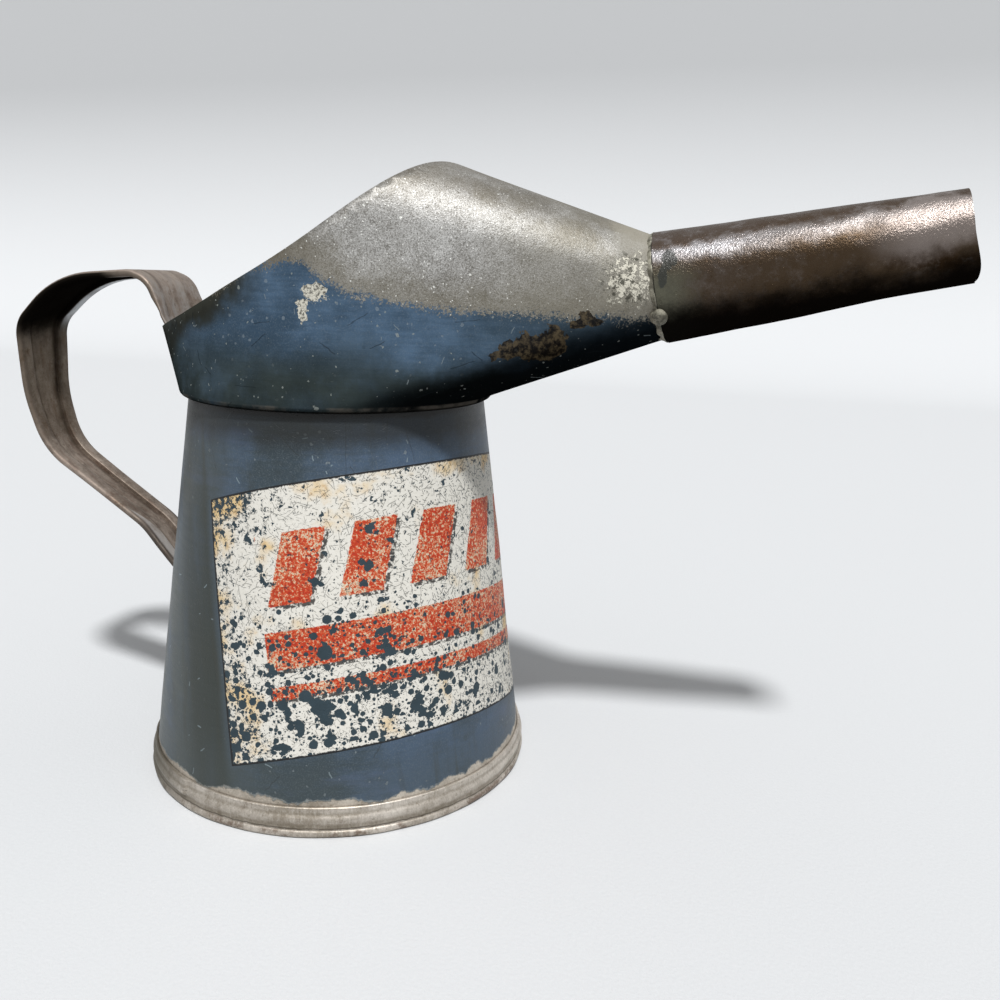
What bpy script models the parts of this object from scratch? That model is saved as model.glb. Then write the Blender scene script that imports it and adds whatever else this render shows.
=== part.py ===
"""Oil pourer of soldered tinplate, quart size. Metres, +Z up, the spout towards +X, standing on z = 0.

Every piece is modelled about the body's own axis, and the empty that carries them all
moves that axis back so that the whole pourer is centred over the origin.
"""

import math

import bmesh
import bpy
from mathutils import Matrix, Vector

# Sheet metal, the gap that neighbouring pieces keep, and how far a cutter runs past what it cuts
SHEET = 0.0007
CLEARANCE = 0.0003
OVERRUN = 0.002
WELD = 1e-7
CREASE = math.radians(35)
TURN_STEPS = 96

# Body: a cone that runs on past the neck as a spigot inside the hood, locked by one side seam
BODY_FLOOR_RADIUS = 0.0639
NECK_RADIUS = 0.0480
NECK_HEIGHT = 0.1242
SPIGOT_HEIGHT = 0.0068
SEAM_WIDTH = 0.0060
SEAM_RISE = 0.0008
SEAM_SLOPE = 0.0009
SEAM_ANGLE = math.radians(180)

# Foot band: rolled lower edge, a groove, a pressed ridge, a plain upper edge and one lapped end
BAND_HEIGHT = 0.0095
LEDGE_THICKNESS = 0.0015
LEDGE_WIDTH = 0.0034
ROLL_RADIUS = 0.0014
GROOVE_HEIGHT = 0.0040
RIDGE_HEIGHT = 0.0056
RIDGE_WIDTH = 0.0018
RIDGE_RISE = 0.0007
LAP_ANGLE = math.radians(-113)
LAP_SPAN = math.radians(14)
LAP_EDGE = math.radians(0.3)
ROLL_START = math.radians(-90)
ROLL_SWEEP = math.radians(130)
ROLL_STEPS = 6

# Base plate: a disc raised off the floor on a turned-down flange, with one stiffening step
BASE_HEIGHT = 0.0052
BASE_CORNER = 0.0012
BASE_STEP_RADIUS = 0.0440
BASE_STEP_RISE = 0.0010

# Solder
FILLET = 0.0010
SEAM_RUN_WIDTH = 0.0040
SEAM_RUN_THICKNESS = 0.0005
SEAM_RUN_FALL_SHARE = 0.5
SOLDER_STEPS = 64
PAD_STEPS = 8

# Hood: sheet drawn over three hoops, the neck end, the mouth and the nozzle's joint
HOOD_OVERHANG = 0.0027
HOOD_FOOT_RISE = 0.0024
TUCK_RISE = 0.0006
LIP_FLARE = 0.0101
LIP_RISE = 0.0199
PEAK_REACH = 0.0421
PEAK_RISE = 0.0727
MOUTH_HALF_WIDTH = 0.0452
MOUTH_SAG = 0.0085
MOUTH_BACK_SHARE = 0.85
MOUTH_FRONT_SHARE = 0.70
MOUTH_TAPER_SHARE = 0.30
NOSE_LENGTH = 0.0536
JOINT_RISE = 0.0379
JOINT_RADIUS = 0.0157
SLEEVE_LENGTH = 0.0060
HOOD_CREASE = math.radians(50)

# Nozzle: a tapered tube slipped over the hood's sleeve, with a lapped seam underneath
NOZZLE_RISE_ANGLE = math.radians(11.3)
NOZZLE_LENGTH = 0.0828
NOZZLE_END_RADIUS = 0.0124
NOZZLE_LAP_SPAN = math.radians(30)
NOZZLE_LAP_RISE = 0.0004
NOZZLE_STEPS = 48
BEAD_LENGTH = 0.0026
BEAD_RISE = 0.0004
BLOB_RADIUS = 0.0027
BLOB_ANGLE = math.radians(230)

# Handle: a strap with hemmed edges, from inside the mouth's back lip round to the body
STRAP = 0.0009
STRAP_WIDTH = 0.0255
TAIL_WIDTH = 0.0220
TAPER_START = 0.0660
TAPER_LENGTH = 0.0500
HEM_WIDTH = 0.0052
HEM_THICKNESS = 0.0023
HEM_ROUND = 0.0006
HEM_FLAT_SHARE = 0.1
HEM_FADE = 0.0050
LEG_LENGTH = 0.0120
LEG_LIFT = 0.0030
LEG_BEND = 0.0100
CAMBER_FADE = 0.0150
CREST_BACK = 0.0060
CREST_RISE = 0.0201
CREST_BEND = 0.0120
HANDLE_OUT = 0.0590
SHOULDER_IN = 0.0193
SHOULDER_RISE = 0.0175
SHOULDER_BEND = 0.0200
BACK_BEND = 0.0110
HEEL_DROP = 0.0256
HEEL_BEND = 0.0300
RUN_DROP = 0.0451
RUN_IN = 0.0070
RUN_BEND = 0.0180
ELBOW_HEIGHT = 0.0738
ELBOW_OUT = 0.0187
ELBOW_BEND = 0.0120
TAIL_TOP = 0.0556
TAIL_BOTTOM = 0.0436
TAIL_BEND = 0.0080
PATH_STEP = 0.0060
BEND_STEP = math.radians(7)
LIP_STEP = math.radians(0.2)
PAD_MARGIN = 0.0026
PAD_THICKNESS = 0.0009


def wall_radius(height):
    """The outside radius of the body's cone at a height."""
    return BODY_FLOOR_RADIUS + (NECK_RADIUS - BODY_FLOOR_RADIUS) * height / NECK_HEIGHT


HOOD_FOOT_RADIUS = NECK_RADIUS + HOOD_OVERHANG
HOOD_FOOT_HEIGHT = NECK_HEIGHT + HOOD_FOOT_RISE
BODY_BOTTOM = LEDGE_THICKNESS + CLEARANCE
LIP = Vector((-HOOD_FOOT_RADIUS - LIP_FLARE, 0, NECK_HEIGHT + LIP_RISE))
PEAK = Vector((PEAK_REACH, 0, NECK_HEIGHT + PEAK_RISE))
JOINT = Vector((HOOD_FOOT_RADIUS + NOSE_LENGTH, 0, NECK_HEIGHT + JOINT_RISE))
NOZZLE_AXIS = Vector((math.cos(NOZZLE_RISE_ANGLE), 0, math.sin(NOZZLE_RISE_ANGLE)))
NOZZLE_UP = Vector((-math.sin(NOZZLE_RISE_ANGLE), 0, math.cos(NOZZLE_RISE_ANGLE)))
NOZZLE_ROOT_RADIUS = JOINT_RADIUS + CLEARANCE + SHEET
HANDLE_REACH = HANDLE_OUT - LIP.x
SPOUT_REACH = (
    JOINT.x
    + NOZZLE_LENGTH * math.cos(NOZZLE_RISE_ANGLE)
    + (NOZZLE_END_RADIUS + NOZZLE_LAP_RISE) * math.sin(NOZZLE_RISE_ANGLE)
)

for old in list(bpy.data.objects):
    bpy.data.objects.remove(old)

pourer = bpy.data.objects.new("pourer", None)
pourer.location.x = (HANDLE_REACH - SPOUT_REACH) / 2
bpy.context.scene.collection.objects.link(pourer)


# Building blocks

def metal(name, colour, metallic, roughness):
    """One piece's own material."""
    material = bpy.data.materials.new(name)
    material.use_nodes = True
    shader = material.node_tree.nodes["Principled BSDF"]
    shader.inputs["Base Color"].default_value = (*colour, 1)
    shader.inputs["Metallic"].default_value = metallic
    shader.inputs["Roughness"].default_value = roughness
    return material


def add_piece(name, bm, material, crease=CREASE):
    """Makes the mesh an object of the pourer, shaded smooth but for its creases."""
    bmesh.ops.remove_doubles(bm, verts=bm.verts, dist=WELD)
    bmesh.ops.recalc_face_normals(bm, faces=bm.faces)
    mesh = bpy.data.meshes.new(name)
    bm.to_mesh(mesh)
    bm.free()
    mesh.shade_smooth()
    mesh.set_sharp_from_angle(angle=crease)
    piece = bpy.data.objects.new(name, mesh)
    piece.parent = pourer
    bpy.context.scene.collection.objects.link(piece)
    if material:
        mesh.materials.append(material)
    else:
        piece.hide_render = True
        piece.display_type = "WIRE"
    return piece


def loft(sections, closed):
    """Skins a row of like outlines, as a ring where closed, or else with its two ends capped."""
    bm = bmesh.new()
    rows = [[bm.verts.new(point) for point in section] for section in sections]
    following = rows[1:] + rows[:1] if closed else rows[1:]
    for row, after in zip(rows, following):
        for corner in range(len(row)):
            bm.faces.new((row[corner - 1], row[corner], after[corner], after[corner - 1]))
    if not closed:
        bm.faces.new(rows[0])
        bm.faces.new(reversed(rows[-1]))
    return bm


def turned(profile, angle):
    """A profile of (radius, height) points, swung to an angle round the body's axis."""
    return [Vector((r * math.cos(angle), r * math.sin(angle), z)) for r, z in profile]


def full_turn(steps=TURN_STEPS, extra=()):
    """Evenly spread angles, with any that a step or an edge needs."""
    even = [math.tau * step / steps - math.pi for step in range(steps)]
    return sorted(set(even) | set(extra))


def on_nozzle(along, radius, angle):
    """A point in the nozzle's own frame, from the joint, with angle 0 at its top."""
    spoke = NOZZLE_UP * math.cos(angle) + Vector((0, 1, 0)) * math.sin(angle)
    return JOINT + NOZZLE_AXIS * along + spoke * radius


def nozzle_radius(along):
    """The nozzle's outside radius at a distance from the joint."""
    return NOZZLE_ROOT_RADIUS + (NOZZLE_END_RADIUS - NOZZLE_ROOT_RADIUS) * along / NOZZLE_LENGTH


def spread(steps):
    """Shares from one edge of a strip, -1, to the other, 1."""
    return [2 * step / steps - 1 for step in range(steps + 1)]


def cut(piece, other, operation="DIFFERENCE"):
    modifier = piece.modifiers.new(other.name, "BOOLEAN")
    modifier.operation = operation
    modifier.object = other


# Body and foot

def seam_step(angle):
    """How far the locked seam stands in at an angle."""
    away = abs(math.remainder(angle - SEAM_ANGLE, math.tau)) * NECK_RADIUS
    return SEAM_RISE if away <= SEAM_WIDTH / 2 else 0


def seam_edges():
    half = SEAM_WIDTH / 2 / NECK_RADIUS
    slope = SEAM_SLOPE / NECK_RADIUS
    offsets = (-half - slope, -half, half, half + slope)
    return [math.remainder(SEAM_ANGLE + offset, math.tau) for offset in offsets]


def make_body():
    top = NECK_HEIGHT + SPIGOT_HEIGHT
    seam_low, seam_high = BAND_HEIGHT, NECK_HEIGHT - CLEARANCE
    outside = [(wall_radius(BODY_BOTTOM), BODY_BOTTOM), (wall_radius(top), top)]

    def outline(angle):
        step = seam_step(angle)
        levels = (
            (top, 0),
            (seam_high + SEAM_SLOPE, 0),
            (seam_high, step),
            (seam_low + SEAM_SLOPE, step),
            (seam_low, 0),
            (BODY_BOTTOM, 0),
        )
        inside = [(wall_radius(height) - SHEET - inwards, height) for height, inwards in levels]
        return outside + inside

    sections = [turned(outline(angle), angle) for angle in full_turn(extra=seam_edges())]
    add_piece("body_shell", loft(sections, True), metal("blue_paint", (0.075, 0.11, 0.15), 0.0, 0.45))


def make_side_seam_solder():
    """The run of solder along the inside of the locked seam."""
    half = SEAM_RUN_WIDTH / 2 / NECK_RADIUS
    low, high = BASE_HEIGHT + BAND_HEIGHT, NECK_HEIGHT - SPIGOT_HEIGHT
    sections = []
    for share in spread(PAD_STEPS // 2):
        crown = SEAM_RUN_THICKNESS * (1 - SEAM_RUN_FALL_SHARE * share * share)
        outer = -SHEET - SEAM_RISE - CLEARANCE
        ends = (wall_radius(low) + outer, low), (wall_radius(high) + outer, high)
        profile = [ends[0], ends[1], (ends[1][0] - crown, high), (ends[0][0] - crown, low)]
        sections.append(turned(profile, SEAM_ANGLE + share * half))
    add_piece("side_seam_solder", loft(sections, False), metal("seam_solder", (0.42, 0.41, 0.39), 0.9, 0.4))


def band_outline(angle):
    """The foot band's section: its outer face, with the lapped end standing out, then its inner face."""
    behind = (LAP_ANGLE - angle) % math.tau
    lap = SHEET * max(0, 1 - behind / LAP_SPAN)

    def seat(height):
        return wall_radius(height) + CLEARANCE

    flat = wall_radius(0) - ROLL_RADIUS + SHEET + CLEARANCE
    roll_turns = [ROLL_START + ROLL_SWEEP * step / ROLL_STEPS for step in range(ROLL_STEPS + 1)]
    roll = [
        (flat + ROLL_RADIUS * math.cos(turn), ROLL_RADIUS * (1 + math.sin(turn))) for turn in roll_turns
    ]
    ridge = [
        (seat(GROOVE_HEIGHT) + SHEET, GROOVE_HEIGHT),
        (seat(RIDGE_HEIGHT) + SHEET + RIDGE_RISE + lap, RIDGE_HEIGHT),
        (seat(RIDGE_HEIGHT + RIDGE_WIDTH) + SHEET + lap, RIDGE_HEIGHT + RIDGE_WIDTH),
        (seat(BAND_HEIGHT) + SHEET + lap, BAND_HEIGHT),
    ]
    inside = [
        (seat(BAND_HEIGHT), BAND_HEIGHT),
        (seat(LEDGE_THICKNESS), LEDGE_THICKNESS),
        (wall_radius(0) - LEDGE_WIDTH, LEDGE_THICKNESS),
        (wall_radius(0) - LEDGE_WIDTH, 0),
    ]
    return roll + ridge + inside


def make_foot_band():
    angles = full_turn(extra=(LAP_ANGLE, LAP_ANGLE + LAP_EDGE))
    sections = [turned(band_outline(angle), angle) for angle in angles]
    add_piece("foot_band", loft(sections, True), metal("bare_tin_foot", (0.34, 0.31, 0.27), 0.9, 0.38))


def flange_radius(height):
    """The base plate's flange, just inside the body's wall."""
    return wall_radius(height) - SHEET - CLEARANCE


def make_base_plate():
    corner = BASE_HEIGHT - BASE_CORNER
    step_top = BASE_HEIGHT + BASE_STEP_RISE
    rim = flange_radius(BASE_HEIGHT)
    top = [
        (0, step_top),
        (BASE_STEP_RADIUS, step_top),
        (BASE_STEP_RADIUS + BASE_STEP_RISE, BASE_HEIGHT),
        (rim - BASE_CORNER, BASE_HEIGHT),
        (flange_radius(corner), corner),
        (flange_radius(BODY_BOTTOM), BODY_BOTTOM),
    ]
    under = [
        (flange_radius(BODY_BOTTOM) - SHEET, BODY_BOTTOM),
        (flange_radius(corner) - SHEET, corner),
        (rim - BASE_CORNER - SHEET / 2, BASE_HEIGHT - SHEET),
        (BASE_STEP_RADIUS + BASE_STEP_RISE - SHEET / 2, BASE_HEIGHT - SHEET),
        (BASE_STEP_RADIUS - SHEET / 2, step_top - SHEET),
        (0, step_top - SHEET),
    ]
    sections = [turned(top + under, angle) for angle in full_turn()]
    add_piece("base_plate", loft(sections, True), metal("base_tin", (0.30, 0.28, 0.25), 0.9, 0.45))


def make_base_solder():
    """The fillet that seals the base plate's flange to the foot band's ledge."""
    outer = flange_radius(BODY_BOTTOM) - SHEET - CLEARANCE
    profile = [(outer, BODY_BOTTOM), (outer, BODY_BOTTOM + FILLET), (outer - FILLET, BODY_BOTTOM)]
    sections = [turned(profile, angle) for angle in full_turn(SOLDER_STEPS)]
    add_piece("base_solder", loft(sections, True), metal("base_solder", (0.42, 0.41, 0.39), 0.9, 0.42))


# Hood, nozzle and their joints

def mouth_edge(turn, grow=0.0):
    """The mouth's edge, from the back lip at turn 0 round to the peak at half a turn."""
    side, ahead = math.sin(turn), (1 - math.cos(turn)) / 2
    blunt = MOUTH_BACK_SHARE + (MOUTH_FRONT_SHARE - MOUTH_BACK_SHARE) * ahead
    taper = 1 - MOUTH_TAPER_SHARE * math.cos(turn)
    point = LIP.lerp(PEAK, ahead)
    point.x -= grow * math.cos(turn)
    point.y = (MOUTH_HALF_WIDTH + grow) * math.copysign(abs(side) ** blunt, side) * taper
    point.z -= MOUTH_SAG * side * side
    return point


def hood_hoops(grow=0.0):
    """The three hoops that the hood's sheet is drawn over, each grown outwards by the same amount."""
    angles = full_turn()
    foot = turned([(HOOD_FOOT_RADIUS + grow, HOOD_FOOT_HEIGHT)], 0)[0]
    neck_hoop = [Matrix.Rotation(angle, 3, "Z") @ foot for angle in angles]
    mouth_hoop = [mouth_edge(angle, grow) for angle in angles]
    joint_hoop = [on_nozzle(0, JOINT_RADIUS + grow, angle) for angle in full_turn(NOZZLE_STEPS)]
    return neck_hoop, mouth_hoop, joint_hoop


def make_hood():
    bm = bmesh.new()
    hoops = [[bm.verts.new(point) for point in hoop] for hoop in hood_hoops()]
    hoop_of = {vert: number for number, hoop in enumerate(hoops) for vert in hoop}
    bmesh.ops.convex_hull(bm, input=bm.verts)
    ends = [face for face in bm.faces if len({hoop_of[vert] for vert in face.verts}) == 1]
    bmesh.ops.delete(bm, geom=ends, context="FACES_ONLY")
    loose = [edge for edge in bm.edges if not edge.link_faces]
    bmesh.ops.delete(bm, geom=loose, context="EDGES")
    bmesh.ops.delete(bm, geom=[vert for vert in bm.verts if not vert.link_faces], context="VERTS")

    def turn_edge(number, place):
        """Turns one end's edge on, with each new point where place puts it."""
        hoop = set(vert for vert in bm.verts if vert in hoop_of and hoop_of[vert] == number)
        rim = [edge for edge in bm.edges if edge.is_boundary and set(edge.verts) <= hoop]
        made = bmesh.ops.extrude_edge_only(bm, edges=rim)["geom"]
        for vert in made:
            if isinstance(vert, bmesh.types.BMVert):
                vert.co = place(vert.co)

    tuck_height = NECK_HEIGHT + TUCK_RISE
    tuck_radius = wall_radius(tuck_height) + CLEARANCE + SHEET

    def tucked(point):
        flat = Vector((point.x, point.y, 0)).normalized() * tuck_radius
        return flat + Vector((0, 0, tuck_height))

    def sleeved(point):
        spoke = (point - JOINT).normalized()
        radius = nozzle_radius(SLEEVE_LENGTH) - SHEET - CLEARANCE
        return JOINT + NOZZLE_AXIS * SLEEVE_LENGTH + spoke * radius

    turn_edge(0, tucked)
    turn_edge(2, sleeved)
    hood = add_piece("pouring_hood", bm, metal("hood_tin", (0.27, 0.25, 0.22), 0.6, 0.5), HOOD_CREASE)
    gauge = hood.modifiers.new("gauge", "SOLIDIFY")
    gauge.thickness = SHEET
    gauge.offset = -1
    gauge.use_even_offset = True


def make_neck_solder():
    """The ring that holds the body's spigot in the hood's tucked edge."""
    low = NECK_HEIGHT + HOOD_FOOT_RISE
    inner = wall_radius(low) + CLEARANCE
    profile = [(inner, low), (inner + FILLET, low + FILLET), (inner, low + 2 * FILLET)]
    sections = [turned(profile, angle) for angle in full_turn(SOLDER_STEPS)]
    add_piece("neck_solder", loft(sections, True), metal("neck_solder", (0.42, 0.41, 0.39), 0.9, 0.42))


def nozzle_lap(angle):
    """How far the lapped seam stands out: it climbs up to the seam's edge, and drops there."""
    return NOZZLE_LAP_RISE * max(0, 1 - ((math.pi - angle) % math.tau) / NOZZLE_LAP_SPAN)


def make_nozzle():
    sections = []
    for angle in full_turn(NOZZLE_STEPS, extra=(math.pi - LAP_EDGE,)):
        lap = nozzle_lap(angle) if angle > 0 else 0
        outline = (
            (0, nozzle_radius(0) + lap),
            (NOZZLE_LENGTH, nozzle_radius(NOZZLE_LENGTH) + lap),
            (NOZZLE_LENGTH, nozzle_radius(NOZZLE_LENGTH) - SHEET),
            (0, nozzle_radius(0) - SHEET),
        )
        sections.append([on_nozzle(along, radius, angle) for along, radius in outline])
    add_piece("spout_nozzle", loft(sections, True), metal("nozzle_tin", (0.22, 0.18, 0.15), 0.85, 0.42))


def make_nozzle_solder():
    """The bead round the joint and the blob on its near side, cut to the hood and the nozzle."""
    outline = (
        (-CLEARANCE, JOINT_RADIUS / 2),
        (-CLEARANCE, NOZZLE_ROOT_RADIUS + BEAD_RISE),
        (-BEAD_LENGTH / 2, NOZZLE_ROOT_RADIUS + BEAD_RISE / 2),
        (-BEAD_LENGTH, JOINT_RADIUS + CLEARANCE + BEAD_RISE),
        (-BEAD_LENGTH, JOINT_RADIUS / 2),
    )
    sections = [[on_nozzle(a, r, angle) for a, r in outline] for angle in full_turn(NOZZLE_STEPS)]
    bead = add_piece("nozzle_solder", loft(sections, True), metal("joint_solder", (0.62, 0.60, 0.52), 0.7, 0.4))

    blob = bmesh.new()
    centre = on_nozzle(-CLEARANCE, NOZZLE_ROOT_RADIUS, BLOB_ANGLE)
    bmesh.ops.create_icosphere(blob, subdivisions=2, radius=BLOB_RADIUS, matrix=Matrix.Translation(centre))
    cut(bead, add_piece("blob_form", blob, None), "UNION")

    envelope = bmesh.new()
    for hoop in hood_hoops(CLEARANCE):
        for point in hoop:
            envelope.verts.new(point)
    hull = bmesh.ops.convex_hull(envelope, input=envelope.verts)
    inner = [item for item in hull["geom_interior"] if isinstance(item, bmesh.types.BMVert)]
    bmesh.ops.delete(envelope, geom=inner, context="VERTS")
    cut(bead, add_piece("hood_cutter", envelope, None))

    def sleeve(along, grow):
        return [
            on_nozzle(along, nozzle_radius(along) + NOZZLE_LAP_RISE + grow, angle)
            for angle in full_turn(NOZZLE_STEPS)
        ]

    tube = loft([sleeve(-CLEARANCE / 2, CLEARANCE), sleeve(2 * BLOB_RADIUS, CLEARANCE)], False)
    cut(bead, add_piece("nozzle_cutter", tube, None))


# Handle and its joints

def rounded_path(corners, bends):
    """A path through corners in the XZ plane, each but the ends rounded to its bend."""
    path = [corners[0]]
    for before, corner, after, bend in zip(corners, corners[1:], corners[2:], bends):
        back = (before - corner).normalized()
        on = (after - corner).normalized()
        half = back.angle(on) / 2
        start = corner + back * bend / math.tan(half)
        centre = corner + (back + on).normalized() * bend / math.sin(half)
        sweep = math.pi - 2 * half
        axis = (start - centre).cross(on)
        count = max(2, math.ceil(sweep / BEND_STEP))
        turns = [Matrix.Rotation(sweep * step / count, 3, axis) for step in range(count + 1)]
        path += [centre + turn @ (start - centre) for turn in turns]
    path.append(corners[-1])
    spaced = [path[0]]
    for end in path[1:]:
        count = max(1, math.ceil((end - spaced[-1]).length / PATH_STEP))
        start = spaced[-1]
        spaced += [start.lerp(end, step / count) for step in range(1, count + 1)]
    return spaced


def wall_point(height, out):
    """A point out behind the body's wall."""
    return Vector((-wall_radius(height) - out, 0, height))


HOOD_BACK = Vector((-HOOD_FOOT_RADIUS, 0, HOOD_FOOT_HEIGHT))
WALL_DOWN = (HOOD_BACK - LIP).normalized()
WALL_IN = Vector((-WALL_DOWN.z, 0, WALL_DOWN.x))
LEG_TOP = LIP + WALL_IN * (SHEET + CLEARANCE + STRAP)


def handle_path():
    """The strap's outer face, from its end inside the mouth to its tail on the body."""
    corners = [
        LEG_TOP + WALL_DOWN * LEG_LENGTH,
        LEG_TOP - WALL_DOWN * LEG_LIFT,
        LIP + Vector((-CREST_BACK, 0, CREST_RISE)),
        Vector((SHOULDER_IN - HANDLE_REACH, 0, LIP.z + SHOULDER_RISE)),
        Vector((-HANDLE_REACH, 0, LIP.z)),
        Vector((-HANDLE_REACH, 0, LIP.z - HEEL_DROP)),
        Vector((RUN_IN - HANDLE_REACH, 0, LIP.z - RUN_DROP)),
        wall_point(ELBOW_HEIGHT, ELBOW_OUT),
        wall_point(TAIL_TOP, CLEARANCE + STRAP),
        wall_point(TAIL_BOTTOM, CLEARANCE + STRAP),
    ]
    upper = (LEG_BEND, CREST_BEND, SHOULDER_BEND, BACK_BEND)
    lower = (HEEL_BEND, RUN_BEND, ELBOW_BEND, TAIL_BEND)
    return rounded_path(corners, upper + lower)


def lip_bow():
    """How fast the mouth's back lip curves in, so that the strap's leg lies against it."""
    turn = LIP_STEP
    while mouth_edge(turn).y < STRAP_WIDTH / 2:
        turn += LIP_STEP
    inwards = (mouth_edge(turn) - LIP).dot(WALL_IN)
    return inwards / (STRAP_WIDTH / 2) ** 2


LEG_BOW = lip_bow()


def fade(distance, start, length):
    """1 up to start, then down to 0 over a length."""
    return min(1, max(0, 1 - (distance - start) / length))


def strap_section(point, normal, half, hem, bow):
    """The strap's outline across its path: flat outer face, hems on the inner, bowed by bow."""
    edge = STRAP + hem * (HEM_THICKNESS - STRAP)
    corner = HEM_ROUND * edge / HEM_THICKNESS
    side = [
        (half / 2, 0),
        (half - HEM_ROUND, 0),
        (half, corner),
        (half, edge - corner),
        (half - HEM_ROUND, edge),
        (half - HEM_WIDTH, edge),
        (half - HEM_WIDTH, STRAP),
        (half / 4, STRAP),
        (0, STRAP),
    ]
    outline = side + [(-across, depth) for across, depth in reversed(side[:-1])] + [(0, 0)]
    return [
        point + Vector((0, across, 0)) + normal * (bow * across * across - depth)
        for across, depth in outline
    ]


def make_handle():
    path = handle_path()
    lengths = [0.0]
    for start, end in zip(path, path[1:]):
        lengths.append(lengths[-1] + (end - start).length)
    tail_length = TAIL_TOP - TAIL_BOTTOM
    sections = []
    for number, point in enumerate(path):
        ahead = path[min(number + 1, len(path) - 1)] - path[max(number - 1, 0)]
        normal = Vector((ahead.z, 0, -ahead.x)).normalized()
        top, tail = lengths[number], lengths[-1] - lengths[number]
        flat = max(fade(top, LEG_LENGTH + HEM_FADE, HEM_FADE), fade(tail, tail_length, HEM_FADE))
        hem = HEM_FLAT_SHARE + (1 - HEM_FLAT_SHARE) * (1 - flat)
        bow = LEG_BOW * fade(top, LEG_LENGTH + HEM_FADE, CAMBER_FADE)
        bow -= fade(tail, tail_length, CAMBER_FADE) / (2 * wall_radius(TAIL_BOTTOM))
        width = TAIL_WIDTH + (STRAP_WIDTH - TAIL_WIDTH) * fade(top, TAPER_START, TAPER_LENGTH)
        sections.append(strap_section(point, normal, width / 2, hem, bow))
    add_piece("handle_strap", loft(sections, False), metal("handle_tin", (0.30, 0.24, 0.20), 0.85, 0.42))


def make_handle_top_solder():
    """A run of solder across the strap's end, inside the mouth."""
    end = LEG_TOP + WALL_DOWN * (LEG_LENGTH + CLEARANCE)
    outline = ((0, 0), (0, STRAP), (2 * FILLET, STRAP), (FILLET, 0))
    sections = []
    for share in spread(PAD_STEPS):
        across = share * STRAP_WIDTH / 2
        bowed = Vector((0, across, 0)) + WALL_IN * (LEG_BOW * across * across)
        section = [end + bowed + WALL_DOWN * down - WALL_IN * back for down, back in outline]
        sections.append(section)
    add_piece("handle_top_solder", loft(sections, False), metal("top_solder", (0.45, 0.43, 0.40), 0.9, 0.42))


def make_handle_bottom_solder():
    """The pad of solder round the strap's tail, open where the tail lies."""
    low, high = TAIL_BOTTOM - PAD_MARGIN, TAIL_TOP - CLEARANCE

    def block(half_width, bottom, top, inner, outer):
        sections = []
        for share in spread(PAD_STEPS):
            angle = math.pi + share * half_width / wall_radius(TAIL_BOTTOM)
            profile = (
                (wall_radius(bottom) + inner, bottom),
                (wall_radius(bottom) + outer, bottom),
                (wall_radius(top) + outer, top),
                (wall_radius(top) + inner, top),
            )
            sections.append(turned(profile, angle))
        return loft(sections, False)

    half = TAIL_WIDTH / 2
    pad = block(half + PAD_MARGIN, low, high, CLEARANCE, CLEARANCE + PAD_THICKNESS)
    pad = add_piece("handle_bottom_solder", pad, metal("tail_solder", (0.45, 0.43, 0.40), 0.9, 0.42))
    window = block(half + CLEARANCE, TAIL_BOTTOM - CLEARANCE, high + OVERRUN, -OVERRUN, OVERRUN)
    cut(pad, add_piece("tail_cutter", window, None))


make_body()
make_side_seam_solder()
make_foot_band()
make_base_plate()
make_base_solder()
make_hood()
make_neck_solder()
make_nozzle()
make_nozzle_solder()
make_handle()
make_handle_top_solder()
make_handle_bottom_solder()
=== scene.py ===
import math
from types import SimpleNamespace

import bmesh
import bpy
from mathutils import Matrix, Vector, noise


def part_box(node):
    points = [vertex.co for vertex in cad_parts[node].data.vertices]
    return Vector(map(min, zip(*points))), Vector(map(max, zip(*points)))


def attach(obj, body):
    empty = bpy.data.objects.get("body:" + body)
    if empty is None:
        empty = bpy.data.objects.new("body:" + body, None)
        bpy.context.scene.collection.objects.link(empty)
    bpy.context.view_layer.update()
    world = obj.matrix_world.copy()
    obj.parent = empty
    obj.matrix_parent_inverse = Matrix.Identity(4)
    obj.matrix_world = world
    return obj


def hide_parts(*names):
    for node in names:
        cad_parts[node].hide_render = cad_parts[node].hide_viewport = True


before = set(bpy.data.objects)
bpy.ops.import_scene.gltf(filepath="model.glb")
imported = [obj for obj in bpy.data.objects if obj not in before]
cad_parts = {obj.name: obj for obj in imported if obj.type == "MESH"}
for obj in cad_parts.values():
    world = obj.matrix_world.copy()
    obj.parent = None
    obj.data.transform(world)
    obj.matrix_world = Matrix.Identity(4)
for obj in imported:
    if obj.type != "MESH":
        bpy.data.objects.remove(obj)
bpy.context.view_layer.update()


# ---- Body ----
# One sheet of tinplate rolled to a cone, with its side seam locked and soldered at the back, under the handle.
# It is painted slate blue by hand, with a cream panel that carries a plain red pattern, all worn and chipped.

neck_low, neck_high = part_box("neck_solder")
AXIS = Vector(((neck_low.x + neck_high.x) / 2, 0, 0))
SHEET = 0.0007
FOOT_RADIUS = 0.0639
NECK_RADIUS = 0.0480
NECK_HEIGHT = 0.1242
BODY_BOTTOM = 0.0018
BODY_TOP = 0.1310
BODY_STEPS = 360
BODY_LEVELS = 44
SEAM_HALF_WIDTH = 0.0032
SEAM_LINE = 0.00022
SEAM_LINE_REACH = 0.0012
SEAM_RISE = 0.0006
SEAM_LOW, SEAM_HIGH = 0.0110, 0.1225
DENT_DEPTH = 0.00022
DENT_SIZE = 0.030
DENT_DETAIL, DENT_FINENESS = 0.4, 2.7
DENTS_FROM, DENTS_TO = (0.010, 0.024), (0.112, 0.122)


def at(x, y, z):
    """A place on the pourer in millimetres, with x and y from the body's axis and z from the floor."""
    return AXIS + Vector((x, y, z)) / 1000


def wall_radius(height):
    """The outside radius of the body's cone at a height."""
    return FOOT_RADIUS + (NECK_RADIUS - FOOT_RADIUS) * height / NECK_HEIGHT


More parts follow.
